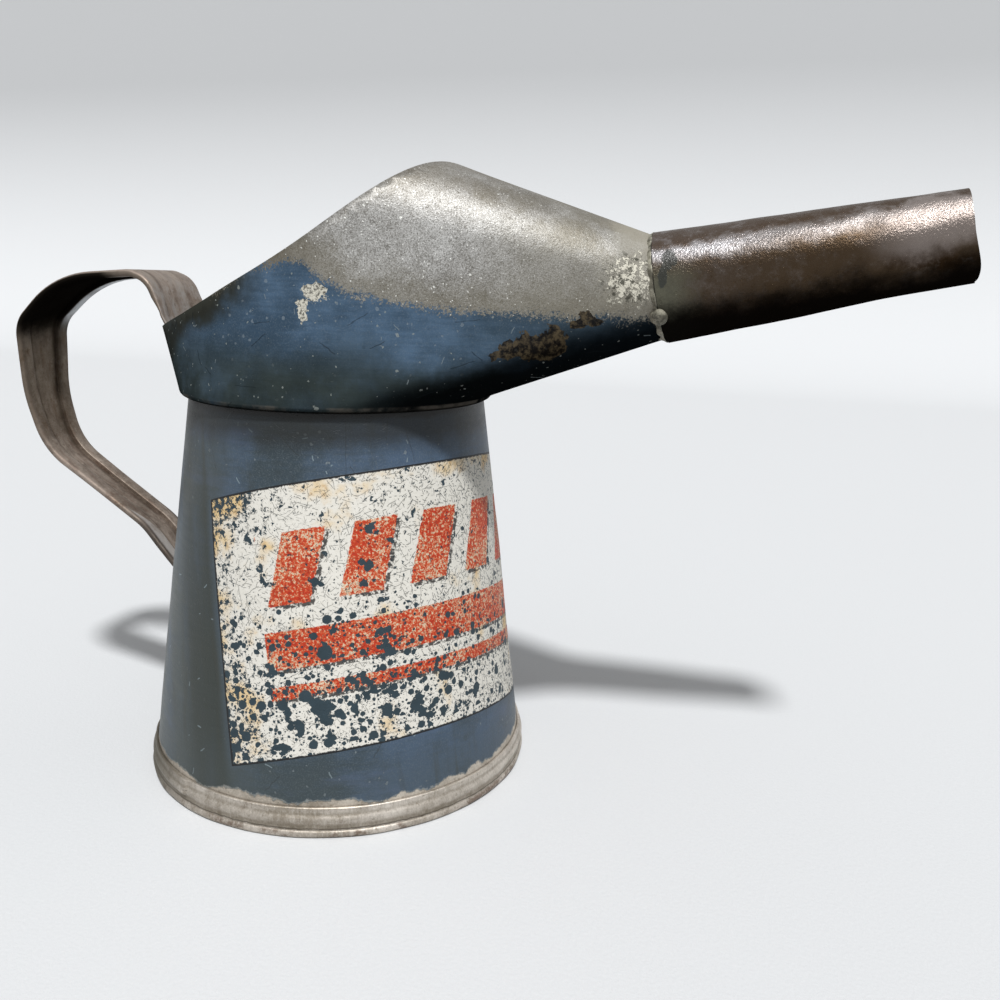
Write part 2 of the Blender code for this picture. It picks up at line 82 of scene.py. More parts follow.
def smooth_step(value, low, high):
    """0 below low, 1 above high, and a soft rise between."""
    share = min(1, max(0, (value - low) / (high - low)))
    return share * share * (3 - 2 * share)


def hump(value, centre, reach):
    """1 at the centre, and a soft fall to 0 at the reach on either side."""
    return 1 - smooth_step(abs(value - centre), 0, reach)


def bearing(point):
    """The angle of a point round the body's axis, 0 towards the nozzle."""
    return math.atan2(point.y, point.x - AXIS.x)


def outward(angle):
    """The level direction at an angle round the body's axis."""
    return Vector((math.cos(angle), math.sin(angle), 0))


def turned(profile, steps, centre=AXIS, axis=Vector((0, 0, 1)), out=Vector((1, 0, 0)), closed=True):
    """Spins a profile of (distance out, distance along) points round an axis."""
    bm = bmesh.new()
    verts = [bm.verts.new(centre + out * radius + axis * along) for radius, along in profile]
    after = verts[1:] + verts[:1] if closed else verts[1:]
    edges = [bm.edges.new(pair) for pair in zip(verts, after)]
    bmesh.ops.spin(
        bm, geom=verts + edges, cent=centre, axis=axis, angle=math.tau, steps=steps, use_merge=True
    )
    bmesh.ops.remove_doubles(bm, verts=bm.verts, dist=1e-6)
    bmesh.ops.recalc_face_normals(bm, faces=bm.faces)
    return bm


def between(start, end, steps):
    """Evenly spread values from start to end, both kept."""
    return [start + (end - start) * number / steps for number in range(steps + 1)]


def finished(name, bm, materials, slot, *nodes, crease=40):
    """Makes the mesh a piece of the pourer that stands for its CAD nodes."""
    mesh = bpy.data.meshes.new(name)
    bm.to_mesh(mesh)
    bm.free()
    mesh.shade_smooth()
    mesh.set_sharp_from_angle(angle=math.radians(crease))
    for material in materials:
        mesh.materials.append(material)
    piece = bpy.data.objects.new(name, mesh)
    bpy.context.scene.collection.objects.link(piece)
    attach(piece, "root")
    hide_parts(*nodes)
    return piece


def tone(red, green, blue):
    """A colour as it looks, from 0 to 255, as the linear values that a shader takes."""
    levels = [level / 255 for level in (red, green, blue)]
    linear = [v / 12.92 if v <= 0.04045 else ((v + 0.055) / 1.055) ** 2.4 for v in levels]
    return (*linear, 1)


class Value:
    """A node's output, which can be added to, multiplied and so on with numbers and other outputs."""

    def __init__(self, socket):
        self.socket = socket

    def __add__(self, other):
        return maths("ADD", self, other)

    def __sub__(self, other):
        return maths("SUBTRACT", self, other)

    def __rsub__(self, other):
        return maths("SUBTRACT", other, self)

    def __mul__(self, other):
        return maths("MULTIPLY", self, other)

    def __pow__(self, other):
        return maths("POWER", self, other)

    def __abs__(self):
        return maths("ABSOLUTE", self)


def work_on(new_tree):
    """From here on, nodes are added to this tree."""
    global tree
    tree = new_tree


def feed(value, socket):
    """Links an output to a socket, or sets the socket to a fixed number, vector or colour."""
    value = value.socket if isinstance(value, Value) else value
    if isinstance(value, bpy.types.NodeSocket):
        tree.links.new(value, socket)
    else:
        socket.default_value = value


def add(kind, values=(), **settings):
    """A new node with its inputs fed."""
    node = tree.nodes.new("ShaderNode" + kind)
    for name, setting in settings.items():
        setattr(node, name, setting)
    for name, value in dict(values).items():
        feed(value, node.inputs[name])
    return node


def maths(operation, *values):
    return Value(add("Math", enumerate(values), operation=operation).outputs[0])


def vectors(operation, *values):
    node = add("VectorMath", enumerate(values), operation=operation)
    return Value(node.outputs["Value" if operation in ("LENGTH", "DOT_PRODUCT") else "Vector"])


def moved(vector, by):
    return vectors("ADD", vector, by)


def stretched(vector, by):
    return vectors("MULTIPLY", vector, by)


def named(sockets):
    """Sockets by their names in small letters."""
    return SimpleNamespace(**{socket.name.lower(): Value(socket) for socket in sockets if socket.name})


def split(vector):
    """The x, y and z of a vector."""
    return named(add("SeparateXYZ", {"Vector": vector}).outputs)


def flat_vector(x, y):
    return add("CombineXYZ", {"X": x, "Y": y}).outputs[0]


def cloud(vector, scale, detail=4, roughness=0.6, output="Fac"):
    """A cloudy noise, mostly between 0.3 and 0.7."""
    values = {"Vector": vector, "Scale": scale, "Detail": detail, "Roughness": roughness}
    return Value(add("TexNoise", values).outputs[output])


def cells(vector, scale, feature="F1"):
    """How far a point is from its cell's middle or border."""
    return Value(add("TexVoronoi", {"Vector": vector, "Scale": scale}, feature=feature).outputs["Distance"])


def step(value, low, high, bottom=0, top=1):
    """Bottom below low and top above high, with a soft rise between. Low may be the larger of the two."""
    values = {"Value": value, "From Min": low, "From Max": high, "To Min": bottom, "To Max": top}
    return Value(add("MapRange", values, interpolation_type="SMOOTHSTEP").outputs[0])


def mix(share, below, above):
    """The colour below, covered by the one above as far as share says."""
    return add("Mix", {0: share, 6: below, 7: above}, data_type="RGBA").outputs[2]


def painted(colour, *layers):
    """The colour under layers of (share, red, green, blue)."""
    for share, *above in layers:
        colour = mix(share, colour, tone(*above))
    return colour


def blend(share, below, above):
    """As mix, for numbers."""
    return Value(add("Mix", {0: share, 2: below, 3: above}).outputs[0])


def either(*masks):
    """The strongest of several masks."""
    total = masks[0]
    for another in masks[1:]:
        total = maths("MAXIMUM", total, another)
    return total


def jittered(vector, scale, sway, detail=3):
    """The vector, moved about by a noise."""
    jitter = vectors("SUBTRACT", cloud(vector, scale, detail, output="Color"), (0.5, 0.5, 0.5))
    return vectors("MULTIPLY_ADD", jitter, sway, vector)


def shaken(vector, scale, amount, detail=3):
    return jittered(vector, scale, (amount, amount, amount), detail)


def spot(vector, centre, radii, soft=0.3):
    """1 inside an ellipsoid with its radii in millimetres, and a soft edge."""
    away = vectors("DIVIDE", vectors("SUBTRACT", vector, centre), [radius / 1000 for radius in radii])
    return step(vectors("LENGTH", away), 1, 1 - soft)


def placed(name, *values):
    """A shared effect, fed with its values in order. Gives its outputs."""
    node = add("Group", node_tree=bpy.data.node_groups[name])
    for socket, value in zip(node.inputs, values):
        feed(value, socket)
    return named(node.outputs)


def mask(name, *values):
    return placed(name, *values).mask


def old_tin(place, light, dark, stain, stains):
    return placed("old_tin", place, tone(*light), tone(*dark), tone(*stain), stains)


COLOUR_SOCKETS = ("Light", "Dark", "Stain", "Base", "Shade", "Nick", "Color")


def effect(name, inputs, outputs):
    """Starts a shader node group with named sockets. Gives its inputs, and what takes its outputs."""
    group = bpy.data.node_groups.new(name, "ShaderNodeTree")
    work_on(group)
    for in_out, labels in (("INPUT", inputs), ("OUTPUT", outputs)):
        for label in labels.split():
            kind = "Color" if label in COLOUR_SOCKETS else "Vector" if label == "Vector" else "Float"
            group.interface.new_socket(label, in_out=in_out, socket_type="NodeSocket" + kind)
    return named(group.nodes.new("NodeGroupInput").outputs), group.nodes.new("NodeGroupOutput").inputs


def finish(name, specular=None):
    """Starts a new material. Gives it, its shader and the place on the piece that its patterns read."""
    material = bpy.data.materials.new(name)
    material.use_nodes = True
    work_on(material.node_tree)
    shader = tree.nodes["Principled BSDF"].inputs
    if specular is not None:
        shader["Specular IOR Level"].default_value = specular
    return material, shader, add("TexCoord").outputs["Object"]


def surface(shader, colour, metallic, roughness, height, relief=0.0002):
    """Feeds a material's shader. Relief is how far full height stands up, in metres."""
    bump = add("Bump", {"Height": height, "Strength": 1, "Distance": relief}).outputs["Normal"]
    values = {"Base Color": colour, "Metallic": metallic, "Roughness": roughness, "Normal": bump}
    for name, value in values.items():
        feed(value, shader[name])


def plain_tin(name, light, dark, stain, stains, metallic):
    """A material of old tin with nothing over it."""
    material, shader, place = finish(name)
    tin = old_tin(place, light, dark, stain, stains)
    surface(shader, tin.color, metallic, tin.roughness, tin.height)
    return material


# Thin broken lines, such as crazing and scratches: the borders of cells, shown only here and there.
given, result = effect("hairlines", "Vector Scale Width Share", "Mask")
bent = shaken(given.vector, 700, 0.0012)
border = cells(bent, given.scale, "DISTANCE_TO_EDGE")
line = step(border, given.width, 0)
shown = cloud(given.vector, given.scale * 1.7, 2)
limit = 0.75 - given.share * 0.5
shown = step(shown, limit, limit + 0.06)
feed(line * shown, result["Mask"])


def in_cells(vector, scale, **settings):
    """The cells' outputs, and three random numbers for each cell."""
    found = add("TexVoronoi", {"Vector": vector, "Scale": scale}, **settings)
    return named(found.outputs), split(found.outputs["Color"])


def flaked(radius, found, chance, soft):
    """Round spots in some of the cells, as many as share says."""
    return step(radius - found.distance, 0, soft) * maths("GREATER_THAN", given.share, chance)


# Flaked-off spots: round or ragged, of many sizes, more of them where the share is high.
given, result = effect("chips", "Vector Scale Share", "Mask")
bent = shaken(given.vector, 900, 0.001)
found, chance = in_cells(bent, given.scale)
feed(flaked(chance.x ** 1.6 * 0.62, found, chance.y, 0.04), result["Mask"])

# Round dots on a flat map in millimetres, such as paint flaked off in spots. Size is a share of their spacing.
given, result = effect("dots", "Vector Scale Size Share", "Mask")
bent = jittered(given.vector, 0.9, (0.9, 0.9, 0))
found, chance = in_cells(bent, given.scale, voronoi_dimensions="2D")
radius = (chance.x ** 1.8 * 0.75 + 0.25) * given.size
feed(flaked(radius, found, chance.y, 0.05), result["Mask"])

# Short strokes on a flat map in millimetres, turned every way, such as crazing, ticks and scratches.
given, result = effect("ticks", "Vector Scale Length Width Share", "Mask")
bent = jittered(given.vector, 0.35, (1.1, 1.1, 0))
found, chance = in_cells(bent, given.scale, voronoi_dimensions="2D")
away = vectors("SUBTRACT", bent, found.position)
turned_away = add("VectorRotate", {"Vector": away, "Angle": chance.x * math.tau}, rotation_type="Z_AXIS")
away = split(turned_away.outputs[0])
half = given.length * (chance.y * 0.35 + 0.15)
reach = half - abs(away.x)
side = given.width * 0.5 - abs(away.y)
there = maths("GREATER_THAN", given.share, chance.z)
feed(step(reach, 0, 0.2) * step(side, 0, 0.06) * there, result["Mask"])

# Old bare tinplate: mottled from light to dark, stained, pitted and finely scratched.
given, result = effect("old_tin", "Vector Light Dark Stain Stains", "Color Roughness Height")
place = given.vector
clouds = cloud(place, 38, 6, 0.65)
mottle = cloud(place, 260, 5, 0.7)
grain = cloud(place, 1900, 3, 0.7)
level = step(clouds * 0.55 + mottle * 0.3 + grain * 0.25, 0.38, 0.7)
colour = mix(level, given.dark, given.light)
stain = cloud(moved(place, (0.31, 0.17, 0.05)), 75, 6, 0.7)
limit = 0.8 - given.stains * 0.5
stain = step(stain, limit, limit + 0.16)
colour = mix(stain * 0.85, colour, given.stain)
pits = mask("chips", place, 1100, 0.22)
colour = mix(pits * 0.55, colour, given.dark)
lines = mask("hairlines", place, 170, 0.018, 0.25)
colour = mix(lines * 0.45, colour, given.light)
feed(colour, result["Color"])
rough = grain * 0.22 + stain * 0.16
feed(rough + 0.4, result["Roughness"])
height = mottle * 0.45 + grain * 0.3
feed(height - pits * 0.2, result["Height"])

# Old brushed paint: clouded between two shades, with dust in it, pale nicks and dark scratches.
given, result = effect("old_paint", "Vector Base Shade Nick", "Color Roughness Height")
place = given.vector
clouds = cloud(place, 30, 6, 0.62)
brush = cloud(stretched(place, (0.12, 0.12, 1)), 900, 4, 0.6)
grain = cloud(place, 2300, 2, 0.6)
level = clouds * 0.82 + brush * 0.18
colour = mix(step(level, 0.38, 0.6), given.shade, given.base)
tint = step(grain, 0.45, 0.75) * 0.2
colour = mix(tint, colour, given.nick)
lines = mask("hairlines", place, 95, 0.01, 0.22)
colour = mix(lines * 0.6, colour, given.shade)
nicks = mask("chips", place, 1000, 0.05)
colour = mix(nicks * 0.55, colour, given.nick)
knocks = mask("chips", place, 420, 0.05)
colour = mix(knocks * 0.45, colour, given.shade)
feed(colour, result["Color"])
rough = brush * 0.2 + clouds * 0.2
feed(rough + 0.24, result["Roughness"])
height = brush * 0.22 + grain * 0.1
feed(height - nicks * 0.25, result["Height"])

# The red pattern on the panel, as a depth in millimetres inside its edges: leaning bars over two stripes.
BAR_PITCH, BAR_HALF, BAR_LEAN = 21.5, 6.6, 0.32
BAR_ROW_MIDDLE, BAR_ROW_HALF = 25.0, 11.0
PATTERN_HALF = 74.0
STRIPES = ((49.5, 6.0), (62.5, 2.2))
given, result = effect("red_pattern", "Across Down", "Depth")
leant = given.down * BAR_LEAN + given.across
folded = maths("PINGPONG", leant, BAR_PITCH / 2)
bar = folded - (BAR_PITCH / 2 - BAR_HALF)


def band(middle, half):
    return half - abs(given.down - middle)


bars = maths("MINIMUM", bar, band(BAR_ROW_MIDDLE, BAR_ROW_HALF))
shapes = either(bars, *[band(middle, half) for middle, half in STRIPES])
inside = PATTERN_HALF - abs(given.across)
feed(maths("MINIMUM", shapes, inside), result["Depth"])

PANEL_BEARING = math.radians(-12)
PANEL_HALF = 89.9
PANEL_HEIGHT = 83.2
PANEL_FITTED = 20.0
PANEL_RUN_OUT = 15.0
PANEL_SIDE, PANEL_FLARE = 84.38, 0.01253
PANEL_TOP = (0.00100264, 0.0596, 392.91)
PANEL_BOTTOM = (0.00124931, 0.11379, 476.11)
CONE_APEX = FOOT_RADIUS * NECK_HEIGHT / (FOOT_RADIUS - NECK_RADIUS)
CONE_HALF_ANGLE = math.atan(FOOT_RADIUS / CONE_APEX)


def panel_edge(across, curve):
    """How far down the unrolled sheet the panel's top or bottom edge lies, in millimetres."""
    square, slope, start = curve
    near = min(across, PANEL_FITTED)
    level = square * near * near + slope * near + start
    turn = 2 * square * PANEL_FITTED + slope
    past = max(0, across - PANEL_FITTED)
    return level + turn * PANEL_RUN_OUT * (1 - math.exp(-past / PANEL_RUN_OUT))


def on_panel(point, middle):
    """A point's place on the panel: -1 to 1 across it, and 0 to 1 down it."""
    turn = math.remainder(bearing(point) - PANEL_BEARING - middle, math.tau) + middle
    reach = 1000 * (CONE_APEX - point.z) / math.cos(CONE_HALF_ANGLE)
    across = reach * math.sin(turn * math.sin(CONE_HALF_ANGLE))
    down = reach * math.cos(turn * math.sin(CONE_HALF_ANGLE))
    top, bottom = panel_edge(across, PANEL_TOP), panel_edge(across, PANEL_BOTTOM)
    side = PANEL_SIDE + PANEL_FLARE * down
    return across / side, 1 - (down - top) / (bottom - top)


body_outer = [(wall_radius(height), height) for height in between(BODY_BOTTOM, BODY_TOP, BODY_LEVELS)]
body_inner = [(radius - SHEET, height) for radius, height in reversed(body_outer)]
bm = turned(body_outer + body_inner, BODY_STEPS)
for vert in bm.verts:
    angle, height = bearing(vert.co), vert.co.z
    out = outward(angle)
    is_inner = (vert.co - AXIS).xy.length < wall_radius(height) - SHEET / 2
    seam_away = abs(math.remainder(angle - math.pi, math.tau)) * NECK_RADIUS
    free = smooth_step(height, *DENTS_FROM) * (1 - smooth_step(height, *DENTS_TO))
    around = Vector((math.cos(angle), math.sin(angle), height / FOOT_RADIUS)) * FOOT_RADIUS / DENT_SIZE
    dent = noise.noise(around) + DENT_DETAIL * noise.noise(around * DENT_FINENESS)
    vert.co += out * DENT_DEPTH * free * dent
    if SEAM_LOW < height < SEAM_HIGH:
        if is_inner and seam_away < SEAM_HALF_WIDTH:
            vert.co -= out * SEAM_RISE
        elif not is_inner:
            vert.co -= out * SEAM_LINE * hump(seam_away, SEAM_HALF_WIDTH, SEAM_LINE_REACH)
panel_map = bm.loops.layers.uv.new("panel")
for face in bm.faces:
    angle = bearing(face.calc_center_median())
    for loop in face.loops:
        loop[panel_map].uv = on_panel(loop.vert.co, angle - PANEL_BEARING)
    face.material_index = 0 if face.normal.dot(outward(angle)) > 0 else 1

blue_paint, shader, place = finish("slate_blue_paint", specular=0.35)
tin = old_tin(place, (214, 206, 194), (150, 140, 126), (104, 88, 68), 0.4)
paint = placed("old_paint", place, tone(76, 97, 122), tone(54, 68, 78), tone(150, 160, 165))
# painted reflection: soft pale blue patches in the paint's colour, standing in for sheen on the body
painted_sheen_patches = cloud(stretched(place, (0.5, 0.5, 2.2)), 52, 5, 0.6)
paint_colour = mix(step(painted_sheen_patches, 0.54, 0.7) * 0.4, paint.color, tone(98, 116, 150))
where = split(place)

# the sheet, unrolled and measured in millimetres from the panel's top middle
sheet = split(add("UVMap", uv_map="panel").outputs["UV"])
share_down = 1 - sheet.y
flat_across = sheet.x * PANEL_HALF
flat_down = share_down * PANEL_HEIGHT
flat = flat_vector(flat_across, flat_down)
other_flat = moved(flat, (211, 97, 0))

# an olive, oily veil on the back and side in upright bands, brown streaks, and painted shade with dirt under
# the hood
bands = cloud(stretched(flat, (0.055, 0.008, 1)), 1, 4, 0.55)
veil = either(step(sheet.x, -0.7, -1.12, 0.22, 1), step(sheet.x, 1.25, 1.6)) * step(bands, 0.3, 0.62, 0.45, 1)
beside = step(sheet.x, -0.99, -1.04) * step(sheet.x, -1.26, -1.14)
beside = beside * step(share_down, -0.4, 0.1) * step(bands, 0.25, 0.5, 0.5, 1)
streaks = cloud(stretched(other_flat, (0.3, 0.022, 1)), 1, 4, 0.6)
streaks = step(streaks, 0.52, 0.7) * step(cloud(place, 26, 3), 0.4, 0.6)
smears = step(cloud(place, 48, 6, 0.7), 0.56, 0.74)
scored = mask("ticks", stretched(flat, (1, 0.35, 1)), 0.11, 9, 0.22, 0.4)
nicked = mask("ticks", other_flat, 0.16, 2.6, 0.4, 0.1)
# painted shade: a dark band on the body under the hood's edge, where the hood shades it, with some dirt in it
under_hood_shade_and_dirt = step(cloud(place, 70, 5) * 0.008 + where.z, NECK_HEIGHT - 0.009, NECK_HEIGHT - 0.001)
low_veil = step(where.z, 0.034, 0.012) * step(cloud(place, 55, 4), 0.32, 0.58, 0.4, 1)
# painted shade: a near-black line in the gap behind the hood's tucked lip, with some dirt in the joint
lip_gap_shade_and_dirt = step(cloud(place, 140, 4) * 0.003 + where.z, 0.1238, 0.1256)
paint_colour = painted(
    paint_colour,
    (veil * 0.8, 72, 78, 72),
    (beside * 0.8, 50, 54, 46),
    (streaks * 0.4, 60, 60, 50),
    (smears * 0.5, 54, 58, 54),
    (scored * 0.55, 44, 50, 52),
    (nicked * 0.65, 150, 166, 172),
    (under_hood_shade_and_dirt * 0.84, 33, 34, 31),
    (low_veil * 0.42, 70, 78, 78),
    (lip_gap_shade_and_dirt * 0.92, 20, 20, 19),
)

# the cream panel, crazed all over, with oil stains
jitter = cloud(place, 700, 4, 0.7) * 1.3 - 0.65
across = flat_across + jitter
down = flat_down + jitter
side_room = PANEL_HALF - abs(flat_across)
bottom_room = sheet.y * PANEL_HEIGHT
room = maths("MINIMUM", side_room, maths("MINIMUM", flat_down, bottom_room))
panel = step(room, 0, 0.12)
inner = step(room + jitter, 0.55, 0.85)

cream = mix(cloud(place, 1300, 3, 0.7), tone(230, 226, 214), tone(255, 253, 246))
stains = cloud(moved(place, (0.2, 0, 0.4)), 62, 4, 0.6)
near_edge = step(side_room, 16, 0, 0, 0.14)
near_top = step(flat_down, 9, 0, 0, 0.09)
stains = step(stains + (near_edge + near_top), 0.56, 0.76)
rusty = stains * step(cloud(place, 420, 4, 0.7), 0.52, 0.68)
ticks = [
    mask("ticks", *values)
    for values in (
        (flat, 0.5, 3.4, 0.26, 0.5),
        (other_flat, 0.36, 4.6, 0.26, 0.6),
        (moved(flat, (57, 133, 0)), 0.2, 9, 0.24, 0.65),
        (moved(flat, (31, 77, 0)), 0.95, 1.5, 0.3, 0.4),
    )
]
crazing = either(*ticks) * step(cloud(place, 95, 3), 0.28, 0.52, 0.3, 1)
crazed = crazing * step(sheet.x, -0.1, -0.6, 0.76, 0.58)
dusting = step(cloud(place, 1500, 3, 0.7), 0.56, 0.68)
cream = painted(
    cream,
    (stains * 0.85, 238, 203, 138),
    (rusty * 0.7, 196, 148, 84),
    (crazed, 58, 60, 58),
    (dusting * 0.24, 134, 132, 122),
)

# the red pattern, brushed on with a dark edge at its lower right, and rubbed to orange and cream
shape = placed("red_pattern", across, down).depth
cast = placed("red_pattern", across - 1.1, down - 1.2).depth
drop_edge = step(cast, 0, 0.3) * step(cloud(place, 800, 3), 0.4, 0.52)
cream = mix(drop_edge * 0.92, cream, tone(34, 30, 30))
rubbed = cloud(place, 85, 4, 0.65)
flecks = rubbed * 0.42 + cloud(place, 1250, 3, 0.75)
red = mix(cloud(place, 500, 3), tone(176, 46, 26), tone(212, 66, 36))
red = painted(
    red,
    (step(flecks, 0.62, 0.76), 222, 112, 66),
    (step(flecks, 0.73, 0.82), 232, 214, 184),
    (crazing * 0.35, 90, 34, 24),
)
red_mask = step(shape, 0, 0.3) * step(flecks, 0.93, 0.86)
cream = mix(red_mask, cream, red)

# chips through the panel to the paint, thickest in its lower third, down its left edge and in its top corner
low_share = step(share_down, 0.3, 0.84)
foot_gap = step(share_down, 1, 0.95, 0.3, 1)
left_share = step(sheet.x, -0.84, -0.98)
corner = step(sheet.x, -0.62, -0.98) * step(share_down, 0.28, 0)
leftwards = step(sheet.x, 0.35, -0.6, 0.55, 1)
patchy = step(cloud(place, 60, 3), 0.3, 0.6, 0.4, 1) * leftwards
many = (low_share * 0.98 + left_share * 0.05) * patchy
fine_dots = mask("dots", flat, 0.8, 0.4, many * 0.8)
dots = mask("dots", other_flat, 0.38, 0.48, many * 0.92)
big_dots = mask("dots", flat, 0.24, 0.42, many * 0.55)
blots = mask("dots", other_flat, 0.155, 0.4, step(share_down, 0.52, 0.84) * foot_gap * (leftwards * 0.75))
islands = step(share_down, 0.6, 0.86) * foot_gap * leftwards * 0.082 + cloud(place, 190, 4, 0.55)
islands = step(islands, 0.645, 0.66)
edges = either(corner, left_share * 0.48)
peppered = step(edges * 0.15 + cloud(place, 620, 4, 0.7), 0.6, 0.64)
chips = either(fine_dots, dots, big_dots, blots, islands, peppered)
under = mix(cloud(place, 220, 3), tone(36, 50, 56), tone(58, 76, 86))
panel_colour = mix(inner, tone(30, 32, 34), mix(chips, cream, under))
colour = mix(panel, paint_colour, panel_colour)

# the paint's ragged lower edge, over bare tin
ragged = cloud(place, 95, 5, 0.7) * 0.0075 - 0.00375
notches = cells(place, 70) * 0.003 - 0.0012
line_height = where.z + ragged + notches
bare = step(line_height, 0.01135, 0.0111)
burr = step(line_height, 0.01195, 0.01135) * (1 - bare)
colour = mix(bare, mix(burr * 0.5, colour, tone(170, 172, 168)), tin.color)
rough = blend(bare, blend(panel, paint.roughness, 0.55), tin.roughness)
height = paint.height + panel * (1 - chips) * 0.4 - either(crazing, scored) * 0.12 + (1 - bare) * 0.5
surface(shader, colour, bare * 0.7, rough, height)

oily_tin = plain_tin("oily_tin_inside", (128, 118, 104), (62, 54, 46), (60, 42, 26), 0.9, 0.7)
finished("body_shell_dressed", bm, [blue_paint, oily_tin], "blue_paint", "body_shell")


# ---- Foot band ----
# A strip of bare tinplate round the foot, rolled at its lower edge to stand on, with a groove and a pressed
# ridge. Its ends lap at the near left, and the lapped end stands out by the sheet's thickness.

BAND_STEPS = 360
SEAT = 0.0003
ROLL_RADIUS = 0.0014
ROLL_START, ROLL_END = math.radians(-90), math.radians(48)
BAND_TOP = 0.0095
BAND_FACE = (
    (0.0036, 0), (0.0044, 0), (0.0050, 0.0002), (0.0055, 0.0004), (0.0061, 0.0005), (0.0067, 0.0003),
    (0.0072, 0.0001), (0.0076, 0), (0.0093, 0), (BAND_TOP, -0.0002),
)
LEDGE_WIDTH = 0.0034
LEDGE_TOP = 0.0015
LAP_BEARING = math.radians(-113)
LAP_SPAN = math.radians(14)
LAP_SWELL = (0.0032, 0.0054)
FACE_FROM = 0.0029
KNOCKED_WIDTH = 0.001
KNOCK_DEPTH = 0.00022


def band_face(height):
    """The outside radius of the band's flat strip."""
    return wall_radius(height) + SEAT + SHEET


roll_centre = FOOT_RADIUS - ROLL_RADIUS + SEAT + SHEET
roll = [
    (roll_centre + ROLL_RADIUS * math.cos(turn), ROLL_RADIUS * (1 + math.sin(turn)))
    for turn in between(ROLL_START, ROLL_END, 12)
]
band_profile = roll + [(band_face(0.0031), 0.0030)] + [
    (band_face(height) + stands_out, height) for height, stands_out in BAND_FACE
] + [
    (wall_radius(BAND_TOP) + SEAT, BAND_TOP),
    (wall_radius(LEDGE_TOP) + SEAT, LEDGE_TOP),
    (FOOT_RADIUS - LEDGE_WIDTH, LEDGE_TOP),
    (FOOT_RADIUS - LEDGE_WIDTH - 0.0001, 0.0008),
    (FOOT_RADIUS - LEDGE_WIDTH, 0.0),
]
bm = turned(band_profile, BAND_STEPS)
for vert in bm.verts:
    angle, height = bearing(vert.co), vert.co.z
    radius = (vert.co - AXIS).xy.length
    out = outward(angle)
    if radius > wall_radius(height) + SEAT + SHEET / 2 and height > FACE_FROM:
        behind = (LAP_BEARING - angle) % math.tau
        vert.co += out * SHEET * max(0, 1 - behind / LAP_SPAN) * smooth_step(height, *LAP_SWELL)
    if radius > FOOT_RADIUS - KNOCKED_WIDTH and height > 0.0002:
        knock = noise.noise(Vector((math.cos(angle), math.sin(angle), height * 40)) * 6)
        vert.co -= out * KNOCK_DEPTH * max(0, 0.3 + knock)

foot_tin, shader, place = finish("bare_foot_tin")
tin = old_tin(place, (216, 208, 198), (150, 140, 126), (98, 80, 62), 0.42)
where = split(place)
wobble = cloud(place, 300, 4) * 0.0012 - 0.0006
level = where.z + wobble
in_groove = step(level, 0.0024, 0.0034) * step(level, 0.0052, 0.004)
over_ridge = step(level, 0.0068, 0.0074) * step(level, 0.0084, 0.0076)
dirt = either(in_groove * 0.9, over_ridge * 0.5) * step(cloud(place, 150, 5, 0.7), 0.3, 0.62, 0.4, 1)
# painted shade: the band's left side is darkened, where it turns away from the key light
dimmed = step(where.x, AXIS.x - 0.016, AXIS.x - 0.05) * 0.92
scratches = cloud(stretched(place, (1, 1, 0.22)), 1500, 3, 0.7)
rusty = step(level, 0.0032, 0.0018) * step(cloud(place, 95, 5, 0.7), 0.5, 0.6)
crease = step(level, 0.0028, 0.003) * step(level, 0.0034, 0.0032)
colour = painted(
    tin.color,
    (step(scratches, 0.52, 0.7) * 0.3, 118, 110, 96),
    (step(scratches, 0.46, 0.32) * 0.3, 226, 222, 212),
    (rusty * 0.75, 104, 82, 66),
    (dirt * 0.7, 98, 88, 68),
    (dimmed, 86, 80, 66),
    (crease * 0.6, 58, 48, 36),
)
rough = tin.roughness + dirt * 0.25
surface(shader, colour, 0.75, rough, scratches * 0.4 + tin.height)
finished("foot_band_dressed", bm, [foot_tin], "bare_tin_foot", "foot_band", crease=30)


# ---- Base plate ----
# The pressed bottom of the can: a tin disc with a raised step and a turned-down flange, let in from below.
# Oil and damp have dulled it, and it has rusted a little in patches.

PLATE_STEPS = 180
PLATE_HEIGHT = 0.0052
PLATE_CORNER = 0.0012
STEP_RADIUS = 0.0440
STEP_RISE = 0.0010
UNDER_CORNER = 0.0001
plate_rim = wall_radius(PLATE_HEIGHT) - SHEET - SEAT


def rounded(centre_radius, centre_height, radius, start, end, steps=5):
    """Points along a quarter bend of a turned profile."""
    turns = between(math.radians(start), math.radians(end), steps)
    return [
        (centre_radius + radius * math.cos(turn), centre_height + radius * math.sin(turn)) for turn in turns
    ]


flange_foot = wall_radius(BODY_BOTTOM) - SHEET - SEAT
plate_top = [(0, PLATE_HEIGHT + STEP_RISE)]
plate_top += rounded(STEP_RADIUS - STEP_RISE / 2, PLATE_HEIGHT + STEP_RISE / 2, STEP_RISE / 2, 90, 0)
plate_top += rounded(STEP_RADIUS + STEP_RISE / 2, PLATE_HEIGHT + STEP_RISE / 2, STEP_RISE / 2, 180, 270)
plate_top += rounded(plate_rim - PLATE_CORNER, PLATE_HEIGHT - PLATE_CORNER, PLATE_CORNER, 90, 0)
plate_top += [(flange_foot, BODY_BOTTOM)]
plate_under = [(flange_foot - SHEET, BODY_BOTTOM)]
plate_under += rounded(plate_rim - PLATE_CORNER, PLATE_HEIGHT - PLATE_CORNER, PLATE_CORNER - SHEET, 0, 90)
plate_under += rounded(STEP_RADIUS, PLATE_HEIGHT - SHEET + UNDER_CORNER, UNDER_CORNER, 270, 180)
plate_under += [(STEP_RADIUS - SHEET, PLATE_HEIGHT + STEP_RISE - SHEET), (0, PLATE_HEIGHT + STEP_RISE - SHEET)]
bm = turned(plate_top + plate_under, PLATE_STEPS, closed=False)

